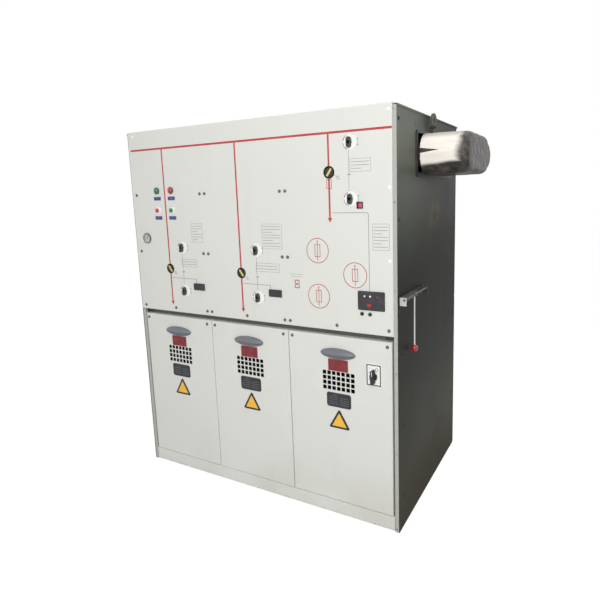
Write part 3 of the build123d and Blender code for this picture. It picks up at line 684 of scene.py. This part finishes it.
@dataclass
class Solids:
    """The finish of each CAD node that shows as it is."""

    groups: dict[Paint, str] = field(default_factory=lambda: {
        Paint.ZINC: "base_frame floor_plate header_rail",
        Paint.RAIL: "middle_rail",
        Paint.LIGHT: "kick_plate mimic_panel cable_cover_left cable_cover_middle cable_cover_right "
                     "vent_grille_left vent_grille_middle vent_grille_right",
        Paint.DARK: "side_panel_left side_panel_right roof_panel rear_panel_lower rear_panel_upper "
                    "lifting_lugs",
        Paint.POST: "front_post_left front_post_right",
        Paint.WHITE: "socket_escutcheons button_bezels cam_switch_plate",
        Paint.GREEN_LENS: "green_lamp",
        Paint.RED_LENS: "red_lamp",
        Paint.RED_CAP: "open_button",
        Paint.GREEN_CAP: "close_button",
        Paint.ROSE_CAP: "trip_button",
        Paint.RIM: "pressure_gauge",
        Paint.CASE: "voltage_indicators fault_indicator",
        Paint.GRIP: "cover_grips",
        Paint.MAROON: "red_plates",
        Paint.NIGHT: "rating_plates",
        Paint.TANK: "gas_tank",
        Paint.RESIN: "busbar_bushings",
        Paint.BALL: "lever_ball",
    })
    rest: Paint = Paint.BLACK

    def two_tones(self) -> dict[str, TwoTone]:
        """Finishes that change colour along the node, by the end of its name."""
        disc_face = front_of("left_position_disc")
        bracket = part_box("lever_bracket")[0]
        return {
            "_position_disc": TwoTone(
                "position_disc_faces", srgb(44, 45, 46), srgb(214, 206, 122), disc_face + 0.4 * MM
            ),
            # Painted shade: the bracket is dark behind its light front flange, where its web and rear flange
            # lie in shade beside the side panel.
            "lever_bracket": TwoTone(
                "bracket_light_front_painted_shade", srgb(64, 68, 61), srgb(196, 198, 190), bracket[1] + 4.0 * MM
            ),
            "lever_rod": TwoTone(
                "lever_finish", srgb(84, 88, 82), srgb(222, 222, 218), bracket[2] + 16.0 * MM, axis="Z"
            ),
        }

    def dress(self) -> None:
        """Gives every node its finish."""
        paints = {name: paint for paint, names in self.groups.items() for name in names.split()}
        endings = {**self.two_tones(), "_drive": Paint.DRIVE}
        for name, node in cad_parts.items():
            matches = (finish for ending, finish in endings.items() if name.endswith(ending))
            chosen = next(matches, paints.get(name, self.rest))
            for holder in node.material_slots:
                holder.material = finish_of(chosen)
            LOG.info("%s keeps its solid", name)


@dataclass
class MimicDiagram:
    """The one-line diagram printed on the upper panel, in millimetres from the left and the floor."""

    ink: float = 0.3
    busbar: tuple[float, float, float] = (27.0, 1296.0, 1518.0)
    busbar_width: float = 8.0
    feeders: tuple[tuple[float, float, float], ...] = (
        (218.5, 985.0, 820.0), (623.0, 985.0, 820.0), (1050.0, 1378.5, 1198.0),
    )
    feeder_width: float = 7.0
    disc_hole: float = 23.5
    fuse_circles: tuple[Pair, ...] = ((992.3, 1089.6), (1147.8, 1002.9), (992.5, 913.5))
    fuse_radius: float = 48.0
    boxes: tuple[tuple[float, float, float, float], ...] = (
        (361.5, 425.0, 1108.5, 1190.0), (737.0, 833.0, 1090.0, 1190.0), (293.6, 379.8, 997.6, 1031.2),
        (701.3, 815.5, 995.7, 1031.3), (1135.1, 1217.3, 1376.4, 1422.3), (1219.7, 1283.8, 1097.5, 1192.2),
    )
    sockets: tuple[Pair, ...] = (
        (300.5, 1082.5), (300.5, 887.0), (705.0, 1082.5), (705.0, 887.0), (1135.5, 1479.5), (1135.5, 1281.0),
    )
    labels: tuple[Pair, ...] = ((172.0, 1300.6), (257.0, 1300.6), (172.0, 1214.7), (257.0, 1214.7))

    def red_lines(self) -> None:
        """Busbar, feeders, arrowheads and fuse symbols."""
        y = front_of("mimic_panel", self.ink)
        work = Blank("red_diagram")
        left, right, level = self.busbar
        half, side = self.busbar_width / 2, self.feeder_width / 2
        work.strip(left, right, level - half, level + half, y)
        for x, disc_z, tip in self.feeders:
            work.strip(x - side, x + side, disc_z + self.disc_hole, level - half, y)
            work.strip(x - side, x + side, tip + 14.0, disc_z - self.disc_hole, y)
            work.disc(x, tip + 9.0, 11.0, y, 3, math.pi)
        x = self.feeders[2][0]
        work.frame(x - 10.5, x + 10.5, 1318.7, 1353.6, 2.2, y)
        for x, z in self.fuse_circles:
            work.ring(x, z, self.fuse_radius, 2.6, y)
            work.frame(x - 12.0, x + 12.0, z - 24.0, z + 24.0, 2.2, y)
            for low, high in ((-21.8, 21.8), (-38.0, -24.0), (24.0, 36.0)):
                work.strip(x - 1.1, x + 1.1, z + low, z + high, y)
            work.disc(x, z + 36.0, 4.0, y, 3)
        work.frame(885.2, 906.2, 938.7, 971.7, 3.2, y)
        settle(work.close(self.ink), Paint.RED_INK)

    def grey_lines(self) -> None:
        """The narrow links to the indicators, and the earth and arrow marks."""
        y = front_of("mimic_panel", self.ink)
        work = Blank("grey_diagram")
        for x0, x1, z, box_x, box_top in (
            (226.0, 372.0, 944.0, 370.7, 925.5), (632.0, 769.0, 941.5, 767.9, 926.0),
        ):
            work.strip(x0, x1, z - 0.9, z + 0.9, y)
            work.strip(box_x - 0.9, box_x + 0.9, box_top, z - 0.9, y)
        work.strip(1062.0, 1198.0, 1230.6, 1232.6, y)
        work.arc(1197.0, 1223.6, 9.0, 2.0, y, 0.0, 90.0)
        work.strip(1204.0, 1206.0, 948.0, 1223.6, y)
        for x, top, bottom, mark in (
            (297.0, 1054.0, 915.0, 974.0), (703.8, 1054.0, 915.0, 972.4), (1131.0, 1450.0, 1309.0, 1367.4),
        ):
            work.strip(x - 0.7, x + 0.7, bottom, top, y)
            work.strip(x - 6.0, x - 0.9, mark - 1.0, mark + 1.0, y)
            work.disc(x + 4.5, mark, 4.5, y, 3)
        for x, z in ((248.7, 968.2), (652.0, 965.0), (1084.2, 1360.1)):
            for step, half in enumerate((8.0, 5.5, 3.0)):
                mid_x, mid_z, lean = x + step * 4.0, z - step * 3.0, half * 0.35
                work.slope((mid_x - lean, mid_z - half), (mid_x + lean, mid_z + half), 1.4, y)
            work.slope((x - 14.0, z + 9.0), (x, z), 1.4, y)
        for x, z in self.sockets:
            work.strip(x + 31.4, x + 32.6, z - 9.0, z + 9.0, y)
            work.disc(x + 32.0, z + 11.0, 3.6, y, 3)
            work.disc(x + 32.0, z - 11.0, 3.6, y, 3, math.pi)
        work.disc(895.7, 955.2, 5.0, y, 24)
        settle(work.close(self.ink), Paint.GREY_INK)

    def instruction_boxes(self) -> None:
        """Outlined fields with ruled lines and no words."""
        y = front_of("mimic_panel", self.ink)
        work = Blank("instruction_boxes")
        for x0, x1, z0, z1 in self.boxes:
            work.frame(x0, x1, z0, z1, 1.3, y)
            rows = int((z1 - z0) / 12.5)
            for row in range(rows):
                z = z1 - (row + 1) * (z1 - z0) / (rows + 1)
                share = 0.55 if row % 3 == 2 else 0.92
                work.strip(x0 + 5.0, x0 + (x1 - x0) * share, z - 1.1, z + 1.1, y)
        work.strip(862.8, 925.8, 993.2, 994.6, y)
        work.strip(868.8, 919.8, 984.2, 985.6, y)
        settle(work.close(self.ink), Paint.PALE_INK)

    def socket_marks(self) -> None:
        """The red and dark arcs on the left edge of each socket's disc."""
        y = front_of("socket_escutcheons", self.ink)
        for name, paint, start, end in (
            ("red_socket_arcs", Paint.RED_INK, 108.0, 168.0),
            ("dark_socket_arcs", Paint.GREY_INK, 180.0, 248.0),
        ):
            work = Blank(name)
            for x, z in self.sockets:
                work.arc(x, z, 25.5, 2.8, y, start, end)
            settle(work.close(self.ink), paint)

    def label_plates(self) -> None:
        """Small engraved plates by the lamps and buttons, left bare."""
        y = front_of("mimic_panel")
        work = Blank("blue_label_plates")
        for x, z in self.labels:
            low = work.at(x - 21.0, z - 8.0, y - 1.2 * MM)
            work.block(low, work.at(x + 21.0, z + 8.0, y), 0.4)
        settle(work.close(), Paint.BLUE)
        work = Blank("label_lines")
        for x, z in self.labels:
            work.frame(x - 19.5, x + 19.5, z - 6.5, z + 6.5, 0.7, y - 1.4 * MM)
            work.strip(x - 10.0, x + 10.0, z - 0.7, z + 0.7, y - 1.4 * MM)
        settle(work.close(0.2), Paint.PALE_INK)

    def build(self) -> None:
        """Prints the whole panel."""
        self.red_lines()
        self.grey_lines()
        self.instruction_boxes()
        self.socket_marks()
        self.label_plates()


@dataclass
class Instruments:
    """Lamp bezels, gauge dial, indicator windows and the switch plate's marks."""

    lamps: tuple[Pair, ...] = ((172.0, 1335.0), (257.0, 1335.0))
    gauge: Pair = (88.0, 1121.5)
    voltage_boxes: tuple[Pair, ...] = ((386.5, 910.5), (791.0, 910.5))
    switch: Pair = (1213.5, 621.0)

    def lamp_bezels(self) -> None:
        """Dark rings round the lenses."""
        rings = [(14.7, 0.0), (14.9, -2.0), (14.7, -5.0), (14.3, -5.4), (13.7, -5.3), (13.6, -4.6)]
        bezels = turned("lamp_bezels", self.lamps, front_of("mimic_panel"), rings, 40)
        settle(bezels, Paint.CASE)

    def gauge_dial(self) -> None:
        """Grey rim, dial, scale, ticks and needle of the pressure gauge."""
        x, z = self.gauge
        dial = front_of("mimic_panel", 2.5)
        rings = [(23.8, 0.0), (23.9, -3.9), (23.3, -5.2), (21.8, -5.6), (20.7, -5.0), (20.5, -2.3)]
        rim = turned("gauge_rim", (self.gauge,), front_of("mimic_panel"), rings, 56)
        settle(rim, Paint.RIM)
        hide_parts("pressure_gauge")
        work = Blank("gauge_dial")
        work.disc(x, z, 20.6, dial, 56)
        settle(work.close(0.2), Paint.DIAL)
        work = Blank("gauge_scale")
        work.arc(x, z, 17.5, 2.2, dial - 0.2 * MM, -40.0, 220.0)
        settle(work.close(0.2), Paint.GREY_INK)

        def ray(reach: float, angle: float) -> Pair:
            """A point at a distance from the hub."""
            return (x + reach * math.cos(angle), z + reach * math.sin(angle))

        work = Blank("gauge_needle")
        for step in range(13):
            angle = math.radians(-45.0 + step * 22.5)
            work.slope(ray(12.0, angle), ray(14.2, angle), 0.8, dial - 0.3 * MM)
        tip = math.radians(62.0)
        work.slope(ray(-5.0, tip), ray(15.0, tip), 1.2, dial - 1.2 * MM)
        work.disc(x, z, 2.2, dial - 1.4 * MM, 24)
        settle(work.close(0.3), Paint.DARK_INK)

    def voltage_windows(self) -> None:
        """Three small neon windows in a recessed field on each voltage indicator."""
        y = front_of("voltage_indicators")
        places = tuple((x + step, z) for x, z in self.voltage_boxes for step in (-16.0, 0.0, 16.0))
        neons = turned("voltage_neons", places, y, [(2.6, 0.0), (2.5, -0.8), (1.7, -1.5)], 20)
        settle(neons, Paint.CHARCOAL)
        work = Blank("voltage_fields")
        for x, z in self.voltage_boxes:
            work.frame(x - 27.5, x + 27.5, z - 11.5, z + 11.5, 0.6, y - 0.2 * MM)
        settle(work.close(0.2), Paint.CHARCOAL)

    def fault_face(self) -> None:
        """Lamps and fields of the fault indicator."""
        y = front_of("fault_indicator")
        rings = [(3.6, 0.0), (3.6, -1.6), (2.6, -3.0), (1.2, -3.5)]
        for name, paint, places in (
            ("fault_lamps_clear", Paint.WHITE, ((1186.6, 928.6), (1208.9, 928.7))),
            ("fault_lamps_red", Paint.RED_LENS, ((1237.5, 928.3),)),
        ):
            settle(turned(name, places, y, rings, 24), paint)
        work = Blank("fault_flag")
        work.block(work.at(1196.5, 891.5, y - 1.6 * MM), work.at(1213.0, 900.5, y), 0.5)
        settle(work.close(), Paint.RED_LENS)
        work = Blank("fault_fields")
        for step in range(9):
            x = 1172.0 + step * 9.0
            work.strip(x, x + 6.5, 911.0, 913.4, y - 0.2 * MM)
        settle(work.close(0.2), Paint.MAROON)
        work = Blank("fault_border")
        work.frame(1162.0, 1261.0, 879.5, 943.5, 0.7, y - 0.2 * MM)
        settle(work.close(0.2), Paint.CHARCOAL)

    def switch_marks(self) -> None:
        """Frame, ticks and pointer of the rotary switch."""
        x, z = self.switch
        y = front_of("cam_switch_plate", 0.2)
        work = Blank("switch_frame")
        work.frame(1184.6, 1242.4, 585.0, 667.0, 4.0, y)
        work.ring(1226.0, 649.0, 6.0, 1.6, y, 32)
        for height in (652.0, 634.0, 607.0):
            work.strip(1193.0, 1199.0, height, height + 1.8, y)
        settle(work.close(0.2), Paint.DARK_INK)
        work = Blank("switch_pointer")
        work.strip(x - 1.0, x + 1.0, z + 6.0, z + 24.0, front_of("cam_switch_knob", 0.05))
        settle(work.close(0.2), Paint.WHITE, "switch_knob")

    def build(self) -> None:
        """Makes every instrument's face."""
        self.lamp_bezels()
        self.gauge_dial()
        self.voltage_windows()
        self.fault_face()
        self.switch_marks()


@dataclass
class CoverPlates:
    """What is printed on the plates of the three cable covers."""

    centres: tuple[float, float, float] = (226.5, 632.4, 1061.0)
    triangle_base: float = 379.0
    triangle_side: float = 94.0
    border: float = 8.4

    def triangles(self) -> None:
        """Yellow fields inside the dark borders."""
        work = Blank("yellow_triangles")
        middle = self.triangle_base + self.triangle_side / (2 * math.sqrt(3))
        radius = self.triangle_side / math.sqrt(3) - 2 * self.border
        for x in self.centres:
            work.disc(x, middle, radius, front_of("triangle_plates", 0.3), 3)
            bpy.ops.mesh.bevel(offset=1.5 * MM, segments=3, affect="VERTICES")
        settle(work.close(0.3), Paint.YELLOW)

    def rating_lines(self) -> None:
        """Ruled lines on the dark plates, left without words."""
        work = Blank("rating_plate_lines")
        y = front_of("rating_plates", 0.2)
        for x in self.centres:
            for row, z in enumerate((516.0, 507.0, 498.0, 489.0, 480.0)):
                reach = 44.0 if row else 30.0
                work.strip(x - reach, x - 4.0, z - 0.5, z + 0.5, y)
                if row:
                    work.strip(x + 4.0, x + reach, z - 0.5, z + 0.5, y)
        settle(work.close(0.2), Paint.GREY_INK)

    def sign_rims(self) -> None:
        """A darker rim round each red plate."""
        work = Blank("red_plate_rims")
        for x in self.centres:
            work.frame(x - 41.0, x + 41.0, 619.0, 663.0, 1.0, front_of("red_plates", 0.2))
        settle(work.close(0.2), Paint.RED_INK)

    def build(self) -> None:
        """Prints all the plates."""
        self.triangles()
        self.rating_lines()
        self.sign_rims()


class Head(Enum):
    """Kinds of screw head: radius and height in millimetres, and its finish."""

    ZINC = (6.6, 3.2, Paint.SCREW)
    PLUG = (6.5, 2.6, Paint.WHITE)
    SMALL = (4.6, 2.6, Paint.ZINC)
    BLACKED = (7.0, 3.6, Paint.BLACK)


@dataclass
class Fasteners:
    """Screws on the panels, each copied from one head."""

    panel: tuple[Pair, ...] = (
        (42.0, 1317.5), (42.0, 1060.0), (42.0, 804.0), (1279.0, 806.0),
        *((x, z) for z in (1316.5, 1060.0, 804.0) for x in (423.0, 450.0, 831.0, 856.5)),
        (235.5, 804.0), (642.0, 804.0), (1067.7, 806.0),
    )
    plugs: tuple[Pair, ...] = ((45.0, 1579.0), (1284.5, 1578.0), (1284.5, 1317.5), (1284.5, 1060.0))
    covers: tuple[float, ...] = (40.0, 404.0, 449.0, 812.0, 855.0, 1267.0)
    cover_height: float = 740.0
    post_x: float = 1300.0
    post_heights: tuple[float, ...] = (1583.0, 1268.0, 955.0, 642.0, 327.0, 14.0)
    side: tuple[Pair, ...] = (
        (13.0, 1548.6), (11.0, 1207.0), (11.0, 875.7), (50.0, 705.7), (57.0, 416.7), (61.0, 123.6),
        (778.0, 1540.0), (778.0, 1120.0), (778.0, 700.0), (778.0, 280.0),
    )
    rear_heights: tuple[float, ...] = (60.0, 420.0, 760.0, 815.0, 1180.0, 1560.0)
    rear_columns: tuple[float, ...] = (20.0, 440.0, 870.0, 1290.0)

    def head(self, kind: Head) -> Piece:
        """One head at the origin, facing the front, with a round recess unless it is a plug."""
        radius, height, _ = kind.value
        work = Blank("screw_" + kind.name.lower(), 0.0)
        rings = [(1.0, 0.0), (1.0, -0.35), (0.86, -0.8), (0.5, -1.0)]
        work.lathe(0.0, 0.0, 0.0, [(radius * across, height * depth) for across, depth in rings], 24)
        if kind is not Head.PLUG:
            bpy.ops.mesh.inset(thickness=0.10 * radius * MM)
            recess = (0.0, 0.5 * height * MM, 0.0)
            bpy.ops.mesh.extrude_region_move(TRANSFORM_OT_translate={"value": recess})
        return work.close(smooth=True)

    def scatter(self, name: str, kind: Head, places: list[Matrix]) -> None:
        """Copies a head to each place and joins them."""
        master = self.head(kind)
        copies = [copy_to(master, place) for place in places]
        bpy.data.objects.remove(master)
        settle(gather(name, copies), kind.value[2])

    def on_face(self, node: str, places: tuple[Pair, ...], side: int = 0) -> list[Matrix]:
        """Places on a node's front, or on its back where side is 1."""
        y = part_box(node)[side][1]
        return [Matrix.Translation((from_left(x), y, z * MM)) for x, z in places]

    def build(self) -> None:
        """Sets every screw."""
        self.scatter("panel_screws", Head.ZINC, self.on_face("mimic_panel", self.panel))
        self.scatter("panel_plugs", Head.PLUG, self.on_face("mimic_panel", self.plugs))
        covers = tuple((x, self.cover_height) for x in self.covers)
        self.scatter("cover_screws", Head.ZINC, self.on_face("cable_cover_left", covers))
        posts = tuple((self.post_x, z) for z in self.post_heights)
        self.scatter("post_screws", Head.SMALL, self.on_face("front_post_right", posts))
        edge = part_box("side_panel_right")[1][0]
        front_y = front_of("front_post_right")
        for name, turn, x in (("right", 90.0, edge), ("left", -90.0, -edge)):
            spin = Matrix.Rotation(math.radians(turn), 4, "Z")
            places = [Matrix.Translation((x, front_y + y * MM, z * MM)) @ spin for y, z in self.side]
            self.scatter(name + "_side_screws", Head.BLACKED, places)
        half_turn = Matrix.Rotation(math.pi, 4, "Z")
        rear = tuple((x, z) for z in self.rear_heights for x in self.rear_columns)
        places = [place @ half_turn for place in self.on_face("rear_panel_upper", rear, 1)]
        self.scatter("rear_screws", Head.ZINC, places)


@dataclass
class FilmHood:
    """The packing film over the busbar extension, creased and pulled in between the bushings."""

    voxel: float = 0.0055
    crease: float = 0.0032
    taper: float = 0.117
    pinch: float = 0.42
    wall: float = 0.0008
    rim: float = 0.022
    mouth: float = 0.006
    stretch: Point = (3.2, 0.55, 0.55)
    edge_rise: float = 0.055
    slit_shade_at: Pair = (0.075, 0.090)
    low: Point = (0.6613, -0.1965, 1.362)
    high: Point = (0.845, 0.2975, 1.523)

    def body(self) -> Piece:
        """The hood's plain form: a long rounded bar, tapered and drawn in at the back; build remeshes it
        evenly and opens it to the cabinet.
        """
        low, high = Vector(self.low), Vector(self.high)
        centre, size = (low + high) / 2, high - low
        work = Blank("film_hood")
        bpy.ops.mesh.primitive_cube_add(size=1.0, location=centre)
        bpy.ops.transform.resize(value=tuple(size), center_override=tuple(centre))
        work.pick(lambda edge: abs(edge.verts[0].co.x - edge.verts[1].co.x) > 0.5 * size.x)
        bpy.ops.mesh.bevel(offset=0.48 * size.z, segments=14, affect="EDGES")
        work.pick(lambda edge: all(vertex.co.x > high.x - 0.001 for vertex in edge.verts))
        bpy.ops.mesh.bevel(offset=self.rim, segments=5, affect="EDGES")
        mesh = bmesh.from_edit_mesh(work.piece.data)
        for vertex in mesh.verts:
            share = (vertex.co.x - low.x) / size.x
            rise = (vertex.co.z - centre.z) / (0.5 * size.z)
            drawn_in = self.taper + (self.pinch * rise * rise if vertex.co.y > centre.y else 0.0)
            vertex.co.y = centre.y + (vertex.co.y - centre.y) * (1.0 - drawn_in * share)
        bmesh.update_edit_mesh(work.piece.data)
        return work.close()

    def crease_it(self, hood: Piece) -> None:
        """Displaces the film inwards in long creases along the busbars."""
        guide = bpy.data.objects.new("crease_guide", None)
        guide.scale = self.stretch
        bpy.context.scene.collection.objects.link(guide)
        bpy.context.view_layer.update()
        for name, kind, size, depth in (("creases", "VORONOI", 0.06, 1.0), ("rumples", "CLOUDS", 0.035, 0.7)):
            pattern = bpy.data.textures.new(name, kind)
            pattern.noise_scale = size
            modify(
                hood, "DISPLACE", texture=pattern, texture_coords="OBJECT", texture_coords_object=guide,
                strength=-self.crease * depth, mid_level=0.0,
            )
        bpy.data.objects.remove(guide)

    def build(self) -> None:
        """Makes the hood and puts it in the solid's place."""
        hood = self.body()
        hood.select_set(True)
        bpy.context.view_layer.objects.active = hood
        modify(hood, "REMESH", mode="VOXEL", voxel_size=self.voxel)
        start, _, low_z = self.low
        bpy.ops.object.mode_set(mode="EDIT")
        bpy.ops.mesh.select_all(action="SELECT")
        cut = (start + self.mouth, 0.0, 0.0)
        bpy.ops.mesh.bisect(plane_co=cut, plane_no=(1.0, 0.0, 0.0), clear_inner=True)
        bpy.ops.object.mode_set(mode="OBJECT")
        self.crease_it(hood)
        modify(hood, "SMOOTH", factor=0.4, iterations=2)
        modify(hood, "SOLIDIFY", thickness=self.wall, offset=-1.0)
        bpy.ops.object.shade_smooth_by_angle(angle=math.radians(50.0))
        deselect()
        # Film: white, and a dark grey-brown that is partly painted shade on the underside and the end.
        film = PackingFilm(
            "packing_film", srgb(250, 244, 234), srgb(48, 43, 38), self.high[0], low_z + self.edge_rise,
            (start + self.slit_shade_at[0], low_z + self.slit_shade_at[1]),
        )
        settle(hood, film)
        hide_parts("busbar_wrap")


@dataclass
class SideFittings:
    """Small fittings on the right side panel, in millimetres behind its front edge and above the floor."""

    slots: tuple[Pair, ...] = ((759.0, 1212.0), (707.0, 866.0))
    mark: Pair = (217.0, 1550.5)
    lug_bolts: Pair = (347.0, 383.0)
    bracket_screws: Pair = (45.0, 217.0)
    bracket_screw_height: float = 903.0

    def build(self) -> None:
        """Makes the slots as black patches of painted shade, the hollow mark, the lug's bolts and the
        bracket's screws.
        """
        low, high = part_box("side_panel_right")
        front, side = low[1], high[0]
        # Painted shade: each slot is a shallow black block on the panel, standing for the shade inside it.
        work = Blank("side_slot_shades", side)
        for y, z in self.slots:
            middle = front + y * MM
            far_corner = work.at(0.4, z + 11.0, middle + 2.5 * MM)
            work.block(work.at(0.0, z - 11.0, middle - 2.5 * MM), far_corner, 0.15)
        settle(work.close(), Paint.BLACK)
        quarter = Matrix.Rotation(math.radians(90.0), 4, "Z")
        work = Blank("side_mark", 0.0)
        work.strip(-26.0, -20.0, -10.0, 10.0, 0.0)
        for z in (7.5, -10.0):
            work.strip(-20.0, 12.0, z, z + 2.5, 0.0)
        work.arc(12.0, 0.0, 10.0, 2.5, 0.0, -88.0, 88.0)
        mark = work.close(0.2)
        place = (side + 0.2 * MM, front + self.mark[0] * MM, self.mark[1] * MM)
        mark.data.transform(Matrix.Translation(place) @ quarter)
        settle(mark, Paint.DARK_INK)
        lug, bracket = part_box("lifting_lugs")[0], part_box("lever_bracket")[0]
        height = self.bracket_screw_height * MM
        places = [(side + 6.0 * MM, front + y * MM, lug[2] + 7.0 * MM) for y in self.lug_bolts]
        places += [(bracket[0] + 3.0 * MM, bracket[1] + y * MM, height) for y in self.bracket_screws]
        turned_places = [Matrix.Translation(place) @ quarter for place in places]
        Fasteners().scatter("fitting_screws", Head.BLACKED, turned_places)


@dataclass
class Studio:
    """Floor, lamps, world and the camera at the photograph's angle."""

    eye: Point = (1.2673, -2.0373, 1.3041)
    right: Point = (0.8808, 0.4726, -0.0283)
    forward: Point = (-0.4707, 0.8677, -0.1595)
    lens: float = 29.82
    shift: Pair = (-0.0484, -0.0444)
    lamps: tuple[tuple[str, Point, float, float], ...] = (
        ("key", (1.4, -3.1, 2.4), 63.0, 1.8),
        ("fill", (-3.2, -3.8, 2.6), 8.0, 3.0),
        ("top", (0.4, 0.6, 4.6), 48.0, 3.4),
    )
    target: Point = (0.0, 0.0, 0.8)

    def camera(self) -> None:
        """Sets the camera."""
        data = bpy.data.cameras.new("camera")
        data.lens = self.lens
        data.sensor_width = 36.0
        data.shift_x, data.shift_y = self.shift
        eye = bpy.data.objects.new("camera", data)
        side, ahead = Vector(self.right), Vector(self.forward)
        above = side.cross(ahead).normalized()
        turn = Matrix((side, above, -ahead)).transposed()
        eye.matrix_world = Matrix.Translation(self.eye) @ turn.to_4x4()
        bpy.context.scene.collection.objects.link(eye)
        bpy.context.scene.camera = eye

    def floor(self) -> None:
        """A pale floor that keeps the shadow."""
        deselect()
        bpy.ops.mesh.primitive_plane_add(size=40.0, location=(0.0, 0.0, -0.0005))
        ground = bpy.context.object
        ground.name = "studio_floor"
        graph = Graph("studio_floor")
        haze = graph.noise(graph.place(), 3.0, 2.0)
        grey = graph.blend(haze, (0.86, 0.86, 0.86, 1.0), (0.84, 0.84, 0.84, 1.0))
        graph.dress(Base_Color=grey, Roughness=0.9)
        light = graph.node("ShaderNodeEmission", {"Color": (1.0, 1.0, 1.0, 1.0), "Strength": 1.05})
        seen = graph.node("ShaderNodeLightPath", output="Is Camera Ray") * 0.94
        out = next(n for n in graph.tree.nodes if n.type == "OUTPUT_MATERIAL")
        both = graph.node("ShaderNodeMixShader", {0: seen, 1: Wire(graph, graph.shader.outputs[0]), 2: light})
        graph.feed(out.inputs["Surface"], both)
        ground.data.materials.append(graph.material)

    def world(self) -> None:
        """White behind the object, and an even grey light on it."""
        world = bpy.data.worlds.new("studio")
        bpy.context.scene.world = world
        world.use_nodes = True
        tree = world.node_tree
        tree.nodes.clear()
        out = tree.nodes.new("ShaderNodeOutputWorld")
        mix = tree.nodes.new("ShaderNodeMixShader")
        path = tree.nodes.new("ShaderNodeLightPath")
        seen = path.outputs["Is Camera Ray"]
        for ray in ("Is Glossy Ray", "Is Transmission Ray"):
            either = tree.nodes.new("ShaderNodeMath")
            either.operation = "MAXIMUM"
            tree.links.new(seen, either.inputs[0])
            tree.links.new(path.outputs[ray], either.inputs[1])
            seen = either.outputs[0]
        tree.links.new(seen, mix.inputs[0])
        for index, (grey, strength) in enumerate(((0.80, 0.50), (1.0, 1.0))):
            sky = tree.nodes.new("ShaderNodeBackground")
            sky.inputs["Color"].default_value = (grey, grey, grey, 1.0)
            sky.inputs["Strength"].default_value = strength
            tree.links.new(sky.outputs[0], mix.inputs[1 + index])
        tree.links.new(mix.outputs[0], out.inputs["Surface"])

    def lights(self) -> None:
        """Soft square lamps aimed at the cabinet's middle."""
        for name, place, power, size in self.lamps:
            data = bpy.data.lights.new(name, "AREA")
            data.energy = power
            data.size = size
            lamp = bpy.data.objects.new(name, data)
            lamp.location = place
            aim = Vector(self.target) - Vector(place)
            lamp.rotation_euler = aim.to_track_quat("-Z", "Y").to_euler()
            bpy.context.scene.collection.objects.link(lamp)

    def build(self) -> None:
        """Sets up the whole studio."""
        self.camera()
        self.floor()
        self.world()
        self.lights()
        bpy.context.scene.view_settings.view_transform = "Standard"


def main() -> None:
    """Builds the studio and every sub-assembly."""
    logging.basicConfig(level=logging.INFO, format="%(message)s")
    Studio().build()
    Solids().dress()
    for assembly in (MimicDiagram, Instruments, CoverPlates, Fasteners, FilmHood, SideFittings):
        LOG.info("-- %s", assembly.__name__)
        assembly().build()


if __name__ == "__main__":
    main()
